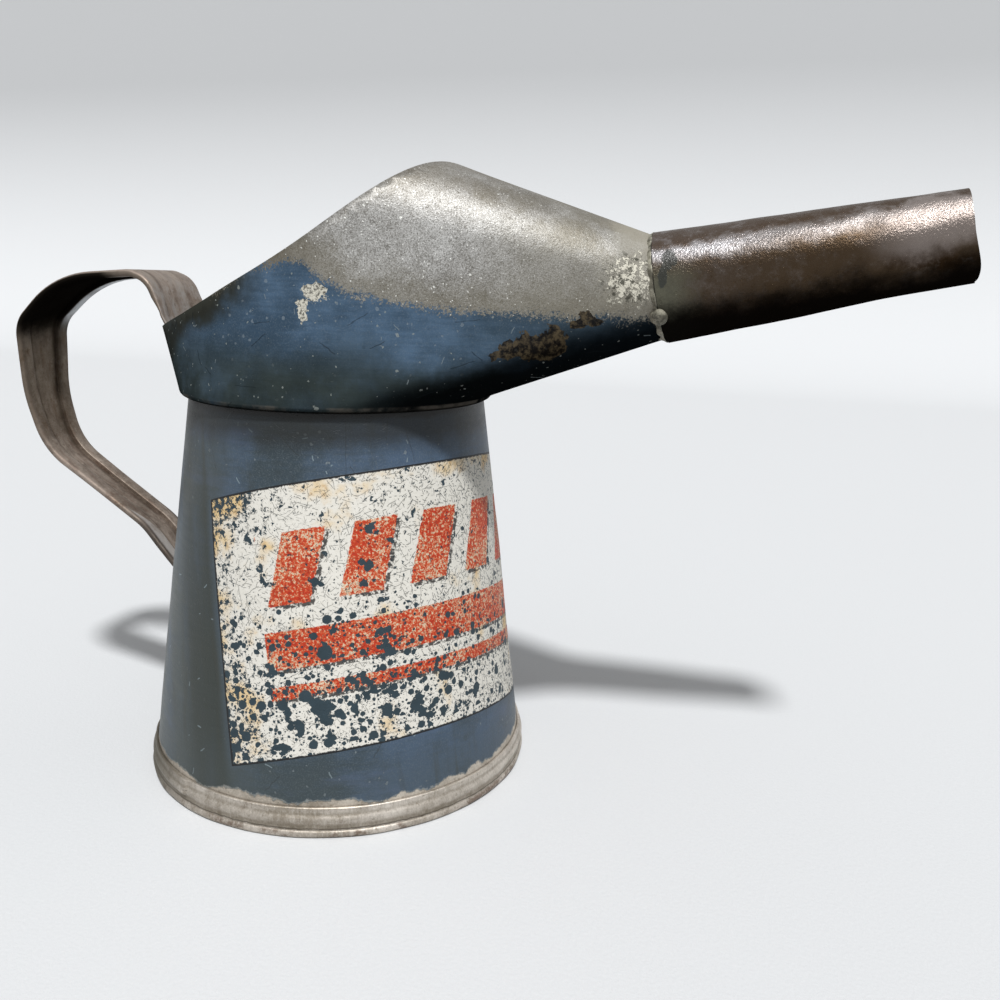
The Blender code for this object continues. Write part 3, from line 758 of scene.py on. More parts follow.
base_tin = plain_tin("dull_base_tin", (150, 142, 130), (88, 80, 70), (98, 66, 40), 0.75, 0.75)
finished("base_plate_dressed", bm, [base_tin], "base_tin", "base_plate", crease=30)


# ---- Hood ----
# A sheet drawn over three hoops, the neck's, the slanted mouth's and the nozzle joint's, with its lower edge
# tucked in. Its upper part has lost its paint, and the rest is dark blue, sooty along the rim and the neck.

HOOD_FOOT_RADIUS = 0.0507
HOOD_FOOT_HEIGHT = 0.1266
LIP = at(-60.8, 0, 144.1)
PEAK = at(42.1, 0, 196.5)
JOINT = at(104.3, 0, 162.3)
MOUTH_HALF_WIDTH = 0.0452
MOUTH_SAG = 0.0085
MOUTH_BACK_SHARE, MOUTH_FRONT_SHARE = 0.85, 0.70
MOUTH_TAPER_SHARE = 0.30
JOINT_RADIUS = 0.0149
NOZZLE_RISE = math.radians(11.16)
NOZZLE_AXIS = Vector((math.cos(NOZZLE_RISE), 0, math.sin(NOZZLE_RISE)))
NOZZLE_UP = Vector((-math.sin(NOZZLE_RISE), 0, math.cos(NOZZLE_RISE)))
NOZZLE_LENGTH = 0.0828
NOZZLE_ROOT_RADIUS, NOZZLE_END_RADIUS = 0.0159, 0.0124
SLEEVE_LENGTH = 0.0060
TUCK_HEIGHT = 0.1248
HOOD_STEPS = 240
CUT_STEP = 0.0035
HOOD_WELD = 0.00012
EASING_ROUNDS = 36
TUCK_BEND = ((0.0002, 0.1260), (0.0007, 0.1254))
SLEEVE_BEND = 0.0015


def mouth_edge(turn):
    """The mouth's edge, from the back lip at turn 0 round to the peak at half a turn."""
    side, ahead = math.sin(turn), (1 - math.cos(turn)) / 2
    blunt = MOUTH_BACK_SHARE + (MOUTH_FRONT_SHARE - MOUTH_BACK_SHARE) * ahead
    point = LIP.lerp(PEAK, ahead)
    half_width = MOUTH_HALF_WIDTH * (1 - MOUTH_TAPER_SHARE * math.cos(turn))
    point.y = half_width * math.copysign(abs(side) ** blunt, side)
    point.z -= MOUTH_SAG * side * side
    return point


def on_nozzle(along, radius, angle):
    """A point in the nozzle's own frame, from the joint, with angle 0 at its top."""
    spoke = NOZZLE_UP * math.cos(angle) + Vector((0, 1, 0)) * math.sin(angle)
    return JOINT + NOZZLE_AXIS * along + spoke * radius


def nozzle_radius(along):
    """The nozzle's outside radius at a distance from the joint."""
    return NOZZLE_ROOT_RADIUS + (NOZZLE_END_RADIUS - NOZZLE_ROOT_RADIUS) * along / NOZZLE_LENGTH


bm = bmesh.new()
turns = between(0, math.tau, HOOD_STEPS)[:-1]
neck_spoke = Vector((HOOD_FOOT_RADIUS, 0, HOOD_FOOT_HEIGHT))
neck_hoop = [AXIS + Matrix.Rotation(turn, 3, "Z") @ neck_spoke for turn in turns]
mouth_hoop = [mouth_edge(turn) for turn in turns]
joint_hoop = [on_nozzle(0, JOINT_RADIUS, turn) for turn in turns[::2]]
hoop_of = {}
for number, hoop in enumerate((neck_hoop, mouth_hoop, joint_hoop)):
    for point in hoop:
        hoop_of[bm.verts.new(point)] = number
bmesh.ops.convex_hull(bm, input=bm.verts)
ends = [face for face in bm.faces if len({hoop_of[vert] for vert in face.verts}) == 1]
bmesh.ops.delete(bm, geom=ends, context="FACES_ONLY")
bmesh.ops.delete(bm, geom=[edge for edge in bm.edges if not edge.link_faces], context="EDGES")
bmesh.ops.delete(bm, geom=[vert for vert in bm.verts if not vert.link_faces], context="VERTS")
for axis, start, end in (((0, 0, 1), HOOD_FOOT_HEIGHT, PEAK.z), ((1, 0, 0), LIP.x, JOINT.x)):
    for along in between(start, end, round((end - start) / CUT_STEP))[1:-1]:
        everything = bm.verts[:] + bm.edges[:] + bm.faces[:]
        bmesh.ops.bisect_plane(bm, geom=everything, dist=1e-5, plane_co=Vector(axis) * along, plane_no=axis)
bmesh.ops.remove_doubles(bm, verts=bm.verts, dist=HOOD_WELD)
bmesh.ops.triangulate(bm, faces=bm.faces)
held = {vert for edge in bm.edges if edge.is_boundary for vert in edge.verts}
free = [vert for vert in bm.verts if vert not in held]
for _ in range(EASING_ROUNDS):
    bmesh.ops.smooth_vert(bm, verts=free, factor=0.5, use_axis_x=True, use_axis_y=True, use_axis_z=True)

RIM_SAG = 0.0013
RIM_SAG_DEPTH = 0.030
RIM_SAG_CENTRE, RIM_SAG_REACH = 0.70, 0.30
for vert in bm.verts:
    share = (vert.co.x - LIP.x) / (PEAK.x - LIP.x)
    rim_height = LIP.z + (PEAK.z - LIP.z) * share - MOUTH_SAG
    near_rim = smooth_step(vert.co.z, rim_height - RIM_SAG_DEPTH, rim_height)
    vert.co.z -= RIM_SAG * hump(share, RIM_SAG_CENTRE, RIM_SAG_REACH) * near_rim


def rim_of(test):
    """The open edges whose ends both pass the test."""
    return [edge for edge in bm.edges if edge.is_boundary and all(test(vert.co) for vert in edge.verts)]


def turn_on(edges, place):
    """Extrudes open edges, and puts each new point where place says."""
    made = bmesh.ops.extrude_edge_only(bm, edges=edges)["geom"]
    for item in made:
        if isinstance(item, bmesh.types.BMVert):
            item.co = place(item.co)
    return [item for item in made if isinstance(item, bmesh.types.BMEdge) and item.is_boundary]


def tucked_to(radius, height):
    level = Vector((1, 1, 0))
    return lambda point: AXIS + ((point - AXIS) * level).normalized() * radius + Vector((0, 0, height))


def outwards(point):
    """The way from the nozzle's axis to a point."""
    away = point - JOINT
    return (away - NOZZLE_AXIS * away.dot(NOZZLE_AXIS)).normalized()


def sleeved_to(along, radius):
    return lambda point: JOINT + NOZZLE_AXIS * along + outwards(point) * radius


tuck_radius = wall_radius(TUCK_HEIGHT) + SEAT + SHEET
rim = rim_of(lambda point: abs(point.z - HOOD_FOOT_HEIGHT) < 1e-4)
tuck_bend = [(HOOD_FOOT_RADIUS - inwards, height) for inwards, height in TUCK_BEND]
for radius, height in tuck_bend + [(tuck_radius, TUCK_HEIGHT)]:
    rim = turn_on(rim, tucked_to(radius, height))
rim = rim_of(lambda point: abs((point - JOINT).dot(NOZZLE_AXIS)) < 1e-4)
sleeve_radius = nozzle_radius(SLEEVE_LENGTH) - SHEET - SEAT
for along in (SLEEVE_BEND, SLEEVE_LENGTH):
    rim = turn_on(rim, sleeved_to(along, JOINT_RADIUS + (sleeve_radius - JOINT_RADIUS) * along / SLEEVE_LENGTH))
bmesh.ops.recalc_face_normals(bm, faces=bm.faces)
middle = at(10, 0, 150)
if sum(face.normal.dot(face.calc_center_median() - middle) for face in bm.faces) < 0:
    bmesh.ops.reverse_faces(bm, faces=bm.faces)

hood_tin, shader, place = finish("hood_paint_and_tin", specular=0.0)
where = split(place)
tin = old_tin(place, (196, 195, 192), (134, 131, 126), (112, 104, 88), 0.34)
paint = placed("old_paint", place, tone(92, 117, 143), tone(64, 84, 103), tone(138, 150, 160))

# soot and old oil along the rim at the back and round the neck, and painted shade under the nose
NOSE_SLOPE = 0.354
BACK_RIM_SLOPE, BACK_RIM_HEIGHT = 0.513, 0.1368
RIDGE_SLOPE = 0.3145
cloudy = cloud(place, 48, 5, 0.65)
drift = cloudy * 0.024 - 0.012
rim_line = where.x * BACK_RIM_SLOPE + (BACK_RIM_HEIGHT - BACK_RIM_SLOPE * LIP.x)
above = where.z - rim_line + drift
soot_top = step(above, -0.012, -0.001) * step(where.x, AXIS.x + 0.004, AXIS.x - 0.014)
soot_neck = step(where.z + drift, 0.15, 0.133)
soot_back = step(where.x + drift, AXIS.x - 0.022, AXIS.x - 0.045)
# painted shade: the nose's underside is painted near black, where it faces down away from the light
nose_line = where.x * NOSE_SLOPE + (HOOD_FOOT_HEIGHT - NOSE_SLOPE * (AXIS.x + HOOD_FOOT_RADIUS))
nose_underside_shade = where.z - nose_line + drift * 0.4
nose_underside_shade = step(nose_underside_shade, 0.016, 0.005) * step(where.x, AXIS.x + 0.006, AXIS.x + 0.04)
soot_front = step(where.x, AXIS.x + 0.03, AXIS.x + 0.09, 0, 0.55)
soot = either(soot_top, soot_neck, soot_back, soot_front) * step(cloudy, 0.25, 0.55, 0.72, 1)
green = mix(cloud(place, 120, 4), tone(34, 40, 38), tone(64, 72, 66))
paint_colour = mix(soot * 0.91, paint.color, green)
side_on = flat_vector(where.x * 1000, where.z * 1000)
scored = mask("ticks", stretched(side_on, (0.6, 1, 1)), 0.15, 6, 0.3, 0.45)
nicked = mask("ticks", side_on, 0.22, 2.4, 0.3, 0.09)
dust = either(mask("chips", place, 1500, 0.03), mask("chips", place, 520, 0.006))
paint_colour = painted(
    paint_colour,
    (soot_top * 0.7, 50, 47, 39),
    (nose_underside_shade * 0.95, 9, 12, 13),
    (scored * 0.5, 30, 35, 38),
    (nicked * 0.6, 140, 150, 154),
    (dust * 0.6, 158, 164, 160),
)

# where the bare tin meets the paint, from the back to the nozzle
EDGE_POINTS = (
    (-42.0, 168.0), (-30.0, 163.0), (-23.3, 157.5), (-12.2, 160.1), (-4.5, 164.4), (2.5, 165.6), (8.9, 166.3),
    (14.7, 163.8), (19.9, 160.5), (26.3, 158.0), (32.7, 156.8), (45.6, 155.0), (56.1, 154.2), (69.2, 153.5),
    (103.4, 153.3),
)
EDGE_LOW, EDGE_HIGH = 0.150, 0.170
start, end = EDGE_POINTS[0][0], EDGE_POINTS[-1][0]
run = add("MapRange", {"Value": where.x, "From Min": AXIS.x + start / 1000, "From Max": AXIS.x + end / 1000})
curve = add("FloatCurve", {"Value": run.outputs[0]})
points = curve.mapping.curves[0].points
shares = [((x - start) / (end - start), (z / 1000 - EDGE_LOW) / (EDGE_HIGH - EDGE_LOW)) for x, z in EDGE_POINTS]
points[0].location, points[-1].location = shares[0], shares[-1]
for share in shares[1:-1]:
    points.new(*share)
curve.mapping.update()
edge_height = Value(curve.outputs[0]) * (EDGE_HIGH - EDGE_LOW) + EDGE_LOW
rough_edge = cloud(place, 130, 5, 0.7) * 0.007 - 0.0035
specks = cloud(place, 1500, 3, 0.75)
rough_edge = rough_edge + (specks * 0.012 - 0.006)
over = where.z - edge_height + rough_edge
bare = step(over, -0.0008, 0.001) * step(where.x, AXIS.x - 0.034, AXIS.x - 0.027)

# the tin: sandy all over, brown near the paint and along the peak, with a few bright specks painted as glints
sandy = cloud(place, 2600, 2, 0.6)
low_brown = step(over + drift, 0.014, 0.002) * 0.62
ridge = where.x * RIDGE_SLOPE + (PEAK.x * -RIDGE_SLOPE - PEAK.z) + where.z + drift
ridge = step(ridge, -0.013, -0.003) * step(where.x, PEAK.x - 0.006, PEAK.x + 0.008)
tip = step(where.x + drift, AXIS.x + 0.024, AXIS.x - 0.004)
toned = either(step(where.z, 0.178, 0.194), ridge, tip) * step(cloudy, 0.28, 0.58, 0.25, 1) * 0.58
# painted glints: tiny near-white specks in the tin's colour
glint_specks = either(mask("chips", place, 2600, 0.05), mask("chips", place, 1100, 0.008))
browned = step(where.x, AXIS.x + 0.05, AXIS.x + 0.078) * step(cloudy, 0.32, 0.58, 0.3, 1) * 0.55
tin_colour = painted(
    tin.color,
    (step(sandy, 0.5, 0.66) * 0.62, 92, 88, 80),
    (step(sandy, 0.46, 0.3) * 0.5, 232, 231, 228),
    (low_brown, 112, 106, 90),
    (toned, 112, 103, 86),
    (glint_specks, 238, 238, 232),
    (browned, 126, 121, 108),
)
colour = mix(bare, paint_colour, tin_colour)

# a pale chip with a tail, brown patches under the nose, and solder run out over the hood's end
near = shaken(place, 300, 0.006)
chip = either(
    spot(near, at(16, -46, 158.4), (4.6, 8, 3.4), 0.7), spot(near, at(12.6, -47, 153.4), (2.3, 8, 4.2), 0.7)
)
chip = step(cloud(place, 760, 4, 0.8) * 1.5 + chip, 1.02, 1.2)
chalk = mix(step(specks, 0.44, 0.62), tone(236, 232, 216), tone(112, 108, 98))
colour = mix(chip * 0.9, colour, chalk)
far = shaken(place, 130, 0.016, 4)
patch = either(
    spot(far, at(76, -28, 144.6), (13, 16, 9.5), 0.8),
    spot(far, at(86, -24, 151.5), (6, 14, 3), 0.8),
    spot(far, at(66, -30, 143.5), (6, 14, 3.6), 0.8),
)
patch = step(cloud(place, 260, 5, 0.7) + patch, 0.88, 0.98)
brown = mix(step(cloud(place, 520, 4, 0.75), 0.42, 0.64), tone(26, 21, 16), tone(92, 80, 60))
colour = mix(patch * 0.9, colour, brown)
smear_start = cloud(place, 90, 5, 0.7) * 0.02 + where.x
smear = step(smear_start, AXIS.x + 0.096, AXIS.x + 0.106) * step(where.z, 0.156, 0.16)
splash = spot(place, at(97, -14, 164), (12, 16, 11), 0.9)
flecks = step(splash * 0.2 + cloud(place, 700, 4, 0.8), 0.6, 0.66) * step(splash, 0.02, 0.3)
pocks = step(cloud(place, 480, 4, 0.8), 0.54, 0.6) * step(splash, 0, 0.5)
colour = painted(
    colour,
    (smear * 0.6, 160, 156, 144),
    (flecks * 0.88, 236, 232, 216),
    (pocks * 0.88, 70, 70, 62),
)

# the tucked lip at the neck and the mouth's edge, rubbed bare, with a painted highlight along the lip and
# painted shade on its tucked-under part
lip_wear_and_highlight = step(where.z, 0.127, 0.1263) * step(cloud(place, 90, 4), 0.42, 0.6)
tucked_shade = step(where.z, 0.1258, 0.1252)
colour = painted(
    colour,
    (lip_wear_and_highlight * 0.55, 118, 112, 104),
    (tucked_shade * 0.85, 22, 21, 19),
)
uncovered = either(bare, chip)
metal_share = bare * (1 - either(flecks, smear)) * 0.67
clean_paint = (1 - either(bare, soot, nose_underside_shade, tucked_shade)) * 0.2
metal_share = either(metal_share, clean_paint)
rough = blend(uncovered, paint.roughness, tin.roughness)
height = blend(bare, paint.height, sandy * 0.5 + tin.height) + (1 - uncovered) * 0.35
height = height + flecks * (1 - pocks) * 0.8
surface(shader, colour, metal_share, rough, height)

edge_tin = plain_tin("worn_sheet_edge", (196, 188, 176), (104, 94, 82), (74, 62, 48), 0.4, 0.8)
hood = finished("pouring_hood_dressed", bm, [hood_tin, oily_tin, edge_tin], "hood_tin", "pouring_hood")
gauge = hood.modifiers.new("gauge", "SOLIDIFY")
gauge.thickness = SHEET
gauge.offset = -1
gauge.use_even_offset = True
gauge.material_offset = 1
gauge.material_offset_rim = 2


# ---- Nozzle ----
# A tapered tube of tinplate, lapped along its underside and slipped over the hood's end.
# It is bare and browned, with dents, and its open end has been knocked out of true.

NOZZLE_STEPS = 180
NOZZLE_LEVELS = 60
LAP_RISE = 0.0004
NOZZLE_LAP_SPAN = math.radians(30)
nozzle_outer = [(nozzle_radius(along), along) for along in between(0, NOZZLE_LENGTH, NOZZLE_LEVELS)]
nozzle_inner = [(radius - SHEET, along) for radius, along in reversed(nozzle_outer)]
bm = turned(nozzle_outer + nozzle_inner, NOZZLE_STEPS, JOINT, NOZZLE_AXIS, NOZZLE_UP)
NOZZLE_DENTS = ((0.0250, -100, 0.0030, 0.0006), (0.0560, -60, 0.0060, 0.0004), (0.0700, -120, 0.0050, 0.0005))
PINCH_DEPTH = 0.00055
PINCH_PLACE, PINCH_REACH = 0.72 * NOZZLE_LENGTH, 0.32 * NOZZLE_LENGTH
SQUEEZE = 0.15
END_TRIM = 0.0004
END_TIP = 0.0006
TIP_TURN, TIP_REACH = math.radians(-130), math.radians(44)
TIP_SPREAD = 0.0005
ROOT_FLARE = 0.0006
END_KNOCKS, TUBE_WAVES, TRIM_WAVES = 0.00030, 0.00010, 0.0004
for vert in bm.verts:
    away = vert.co - JOINT
    along = away.dot(NOZZLE_AXIS)
    spoke = (away - NOZZLE_AXIS * along).normalized()
    angle = math.atan2(spoke.y, spoke.dot(NOZZLE_UP))
    radius = (away - NOZZLE_AXIS * along).length
    near_end = smooth_step(along, 0.62 * NOZZLE_LENGTH, NOZZLE_LENGTH)
    from_bottom = abs(math.remainder(angle - math.pi, math.tau))
    if angle > 0 and radius > nozzle_radius(along) - SHEET / 2:
        radius += LAP_RISE * max(0, 1 - from_bottom / NOZZLE_LAP_SPAN)
    wave = Vector((math.cos(angle), math.sin(angle), along * 40))
    radius -= END_KNOCKS * near_end * max(0, 0.2 + noise.noise(wave * 1.6))
    radius -= TUBE_WAVES * (1 + noise.noise(wave * 3.1)) * smooth_step(along, 0.004, 0.015)
    radius -= PINCH_DEPTH * hump(along, PINCH_PLACE, PINCH_REACH) * hump(from_bottom, 0, math.radians(75))
    radius += ROOT_FLARE * math.exp(-along / 0.003) * hump(angle, math.radians(-150), math.radians(45))
    for dent_along, degrees, reach, depth in NOZZLE_DENTS:
        turn = math.remainder(angle - math.radians(degrees), math.tau) * radius
        radius -= depth * (1 - smooth_step(math.hypot(along - dent_along, turn), 0, reach))
    trim = END_TRIM * hump(angle, math.radians(-85), math.radians(80))
    ripple = noise.noise(wave * 2.3 + Vector((5, 2, 1)))
    trim += TRIM_WAVES * max(0, 0.4 + ripple) * hump(angle, 0, math.radians(150))
    tip = hump(math.remainder(angle - TIP_TURN, math.tau), 0, TIP_REACH)
    radius += TIP_SPREAD * tip * smooth_step(along, 0.95 * NOZZLE_LENGTH, NOZZLE_LENGTH)
    trim -= END_TIP * tip
    along -= trim * smooth_step(along, 0.9 * NOZZLE_LENGTH, NOZZLE_LENGTH)
    spoke.y *= 1 - SQUEEZE * smooth_step(along, 0.40 * NOZZLE_LENGTH, NOZZLE_LENGTH)
    vert.co = JOINT + NOZZLE_AXIS * along + spoke * radius

nozzle_tin, shader, place = finish("browned_nozzle_tin", specular=0.0)
tin = old_tin(place, (204, 203, 206), (140, 133, 131), (104, 92, 82), 0.4)
away = vectors("SUBTRACT", place, JOINT)
along = vectors("DOT_PRODUCT", away, NOZZLE_AXIS)
up = vectors("DOT_PRODUCT", away, NOZZLE_UP)
patches = cloud(moved(place, (0.7, 0.2, 0.9)), 70, 6, 0.7)
film = cloud(place, 260, 5, 0.75)
grit = cloud(place, 1500, 3, 0.7)
wander = patches * 0.012 - 0.006
level = up + wander
dimmed = step(patches * 0.02 + along, 0.03, 0.044) * step(film, 0.24, 0.5, 0.5, 1)
top_film = step(level, 0.0086, 0.0118) * step(film, 0.26, 0.52, 0.6, 1)
side_film = step(level, 0.01, 0.004) * step(film, 0.24, 0.52, 0.84, 1)
worn_patch = spot(shaken(place, 110, 0.01), at(175, -10, 172), (17, 14, 4.5), 0.6) * step(film, 0.34, 0.5)
clear_end = step(along, 0.052, 0.07) * step(level, -0.005, 0.001) * step(level, 0.0116, 0.0096) * 0.62
colour = painted(
    tin.color,
    (step(film, 0.42, 0.66) * 0.36, 98, 84, 72),
    (dimmed * 0.6, 124, 116, 110),
    (top_film * 0.9, 74, 56, 38),
    (side_film * 0.92, 60, 44, 23),
    (worn_patch * 0.8, 46, 31, 16),
    (clear_end, 154, 144, 139),
)
greenish = step(along + wander, 0.015, 0.003) * step(up, 0.008, 0) * 0.75
colour = mix(greenish, colour, mix(film, tone(62, 64, 54), tone(128, 128, 112)))
# painted shade: the underside is painted near black and made non-metallic, where it faces down away from the
# light
bottom = step(film * 0.003 + level, 0.0005, -0.0095)
smudge = either(
    spot(shaken(place, 400, 0.004), at(107.6, -12.5, 169.6), (2.4, 6, 3.4), 0.2),
    spot(shaken(place, 400, 0.003), at(106.2, -14.5, 165.4), (1.2, 6, 3.6), 0.2),
)
colour = painted(
    colour,
    (bottom * 0.95, 14, 11, 9),
    (smudge * 0.8, 64, 66, 64),
)
rough = step(film, 0.3, 0.7) * 0.1 + tin.roughness * 0.44
height = grit * 0.55 + tin.height * 0.8
surface(shader, colour, step(bottom, 0.1, 1, 0.66, 0), rough, height, 0.00026)
finished("spout_nozzle_dressed", bm, [nozzle_tin], "nozzle_tin", "spout_nozzle", crease=30)


# ---- Nozzle solder ----
# The joint is sweated round with pale solder, left lumpy, with one run of it cooled to a blob on the near side.

BEAD_LENGTH = 0.0026
BEAD_RISE = 0.0004
BLOB_RADIUS = 0.0027
BLOB_TURN = math.radians(239)
BLOB_FLATNESS = 0.72
BEAD_LUMP_SIZE, BEAD_LUMP_DEPTH = 0.0034, 0.0006


def lumpy(bm, size, depth, swell=-0.35):
    """Moves the points in and out a little, as solder cools."""
    bm.normal_update()
    moves = [(vert, vert.normal * depth * (noise.noise(vert.co / size) + swell)) for vert in bm.verts]
    for vert, move in moves:
        vert.co += move


bead_profile = [
    (JOINT_RADIUS - 0.0002, -BEAD_LENGTH - 0.0002),
    (JOINT_RADIUS + 0.0003, -BEAD_LENGTH),
    (JOINT_RADIUS + 0.0006, -0.0018),
    (NOZZLE_ROOT_RADIUS, -0.0010),
    (NOZZLE_ROOT_RADIUS + BEAD_RISE * 0.7, -0.0004),
    (NOZZLE_ROOT_RADIUS + BEAD_RISE * 0.4, -0.0001),
    (JOINT_RADIUS, -0.0001),
]
bm = turned(bead_profile, 240, JOINT, NOZZLE_AXIS, NOZZLE_UP)
blob_centre = on_nozzle(-0.0004, NOZZLE_ROOT_RADIUS, BLOB_TURN)
blob_out = (on_nozzle(0, 1, BLOB_TURN) - JOINT).normalized()
to_blob = Matrix.Translation(blob_centre)
ball = bmesh.ops.create_icosphere(bm, subdivisions=4, radius=BLOB_RADIUS, matrix=to_blob)["verts"]
flatten = Matrix.Scale(BLOB_FLATNESS, 4, blob_out)
bmesh.ops.transform(bm, matrix=flatten, space=Matrix.Translation(-blob_centre), verts=ball)
lumpy(bm, BEAD_LUMP_SIZE, BEAD_LUMP_DEPTH)

solder, shader, place = finish("pale_solder")
tin = old_tin(place, (206, 202, 184), (120, 116, 100), (70, 66, 54), 0.7)
pocks = step(cloud(place, 380, 4, 0.75), 0.5, 0.6)
colour = mix(pocks * 0.7, tin.color, tone(70, 68, 58))
surface(shader, colour, 0.25, tin.roughness + 0.08, tin.height, 0.0003)
finished("nozzle_solder_dressed", bm, [solder], "joint_solder", "nozzle_solder")


# ---- Handle ----
# A strap of tinplate with both edges folded in for a smooth grip. It starts inside the mouth's back lip, loops
# back and down, and ends flat on the body. It is bare, and browned by hands and oil.

STRAP = 0.0009
STRAP_WIDTH = 0.0266
STRAP_NARROWS, STRAP_WIDENS = (0.052, 0.165, 0.0082), (0.176, 0.216, 0.0034)
HEM_WIDTH = 0.0052
HEM_THICKNESS = 0.0023
HEM_FLAT_SHARE = 0.1
HEM_FADE = 0.0050
CAMBER_FADE = 0.0150
LEG_LENGTH, LEG_LIFT = 0.0120, 0.0030
HANDLE_BENDS = (0.0100, 0.0092, 0.0420, 0.0120, 0.0460, 0.0250, 0.0220, 0.0080)
PATH_STEP = 0.0020
BEND_STEP = math.radians(4)
TAIL_TOP, TAIL_BOTTOM = 0.0556, 0.0436
hood_back = at(-50.7, 0, 126.6)
wall_down = (hood_back - LIP).normalized()
wall_in = Vector((-wall_down.z, 0, wall_down.x))
leg_top = LIP + wall_in * (SHEET + SEAT + STRAP)


def behind_wall(height, out):
    """A point out behind the body's wall."""
    return AXIS + Vector((-wall_radius(height) - out, 0, height))


strap_corners = [
    leg_top + wall_down * LEG_LENGTH,
    leg_top - wall_down * LEG_LIFT,
    LIP + Vector((-0.0031, 0, 0.0196)),
    at(-100.5, 0, 161.0),
    at(-119.7, 0, 144.1),
    at(-119.7, 0, 118.0),
    at(-113.9, 0, 98.2),
    behind_wall(0.0730, 0.0196),
    behind_wall(TAIL_TOP, SEAT + STRAP),
    behind_wall(TAIL_BOTTOM, SEAT + STRAP),
]


def rounded_path(corners, bends):
    """A path through the corners, each but the ends rounded to its bend, in short even steps."""
    path = [corners[0]]
    for before, corner, after, bend in zip(corners, corners[1:], corners[2:], bends):
        back, on = (before - corner).normalized(), (after - corner).normalized()
        half = back.angle(on) / 2
        start = corner + back * bend / math.tan(half)
        centre = corner + (back + on).normalized() * bend / math.sin(half)
        sweep = math.pi - 2 * half
        count = max(2, math.ceil(sweep / BEND_STEP))
        for turn in between(0, sweep, count):
            path.append(centre + Matrix.Rotation(turn, 3, (start - centre).cross(on)) @ (start - centre))
    path.append(corners[-1])
    spaced = [path[0]]
    for end in path[1:]:
        start = spaced[-1]
        count = max(1, math.ceil((end - start).length / PATH_STEP))
        spaced += [start.lerp(end, number / count) for number in range(1, count + 1)]
    return spaced


def fade(distance, start, length):
    """1 up to start, then down to 0 over a length."""
    return min(1, max(0, 1 - (distance - start) / length))


lip_turn = min(between(0, 1, 500), key=lambda turn: abs(mouth_edge(turn).y - STRAP_WIDTH / 2))
leg_bow = (mouth_edge(lip_turn) - LIP).dot(wall_in) / (STRAP_WIDTH / 2) ** 2


def strap_outline(half, hem, bow):
    """The strap's section as (across, depth) points: a flat outer face, and a fold along each inner edge."""
    edge = STRAP + hem * (HEM_THICKNESS - STRAP)
    bend = edge / 2
    turns = between(-math.pi / 2, math.pi / 2, 6)
    fold = [(half - bend + bend * math.cos(turn), bend + bend * math.sin(turn)) for turn in turns]
    inner = half - HEM_WIDTH
    flap = [
        (half - HEM_WIDTH * 0.5, edge + 0.00005),
        (inner + 0.0004, edge),
        (inner, edge - 0.0003 * hem),
        (inner - 0.0001, STRAP),
    ]
    side = [(half / 2, 0)] + fold + flap + [(half / 3, STRAP), (0, STRAP)]
    outline = side + [(-across, depth) for across, depth in reversed(side[:-1])] + [(0, 0)]
    return [(across, depth - bow * across * across) for across, depth in outline]


def strap_width(distance):
    """The strap's width at a distance along it, wide in the grip and narrower below."""
    *narrowing, less = STRAP_NARROWS
    *widening, more = STRAP_WIDENS
    return STRAP_WIDTH - less * smooth_step(distance, *narrowing) + more * smooth_step(distance, *widening)


path = rounded_path(strap_corners, HANDLE_BENDS)
lengths = [0.0]
for start, end in zip(path, path[1:]):
    lengths.append(lengths[-1] + (end - start).length)
bm = bmesh.new()
rim = []
layers = [bm.verts.layers.float.new(name) for name in ("inside", "along", "from_edge")]
for number, point in enumerate(path):
    ahead = path[min(number + 1, len(path) - 1)] - path[max(number - 1, 0)]
    normal = Vector((ahead.z, 0, -ahead.x)).normalized()
    top, tail = lengths[number], lengths[-1] - lengths[number]
    flat = max(fade(top, LEG_LENGTH + HEM_FADE, HEM_FADE), fade(tail, TAIL_TOP - TAIL_BOTTOM, HEM_FADE))
    hem = HEM_FLAT_SHARE + (1 - HEM_FLAT_SHARE) * (1 - flat)
    bow = leg_bow * fade(top, LEG_LENGTH + HEM_FADE, CAMBER_FADE)
    bow -= fade(tail, TAIL_TOP - TAIL_BOTTOM, CAMBER_FADE) / (2 * wall_radius(TAIL_BOTTOM))
    half = strap_width(top) / 2
    free = smooth_step(min(top, tail), 0.012, 0.030)
    half -= 0.00012 * free * (1 + noise.noise(Vector((top * 45, 3, 1))))
    outline = strap_outline(half, hem, bow)
    section = [point + Vector((0, across, 0)) - normal * depth for across, depth in outline]
    depths = [min(1, max(0, (depth + bow * across * across) / STRAP)) for across, depth in outline]
    if not rim:
        verts = [bm.verts.new(corner) for corner in section]
        rim = [bm.edges.new(pair) for pair in zip(verts, verts[1:] + verts[:1])]
        bmesh.ops.contextual_create(bm, geom=rim)
        continue
    made = bmesh.ops.extrude_edge_only(bm, edges=rim)["geom"]
    fresh = [item for item in made if isinstance(item, bmesh.types.BMVert)]
    for vert, corner, depth, (across, _) in zip(fresh, section, depths, outline):
        vert.co = corner
        for layer, value in zip(layers, (depth, top, half - abs(across))):
            vert[layer] = value
    rim = [item for item in made if isinstance(item, bmesh.types.BMEdge) and len(item.link_faces) == 1]
bmesh.ops.contextual_create(bm, geom=rim)
bmesh.ops.recalc_face_normals(bm, faces=bm.faces)


def read(name):
    """A number that is kept on the mesh's points."""
    return Value(add("Attribute", attribute_name=name).outputs["Fac"])


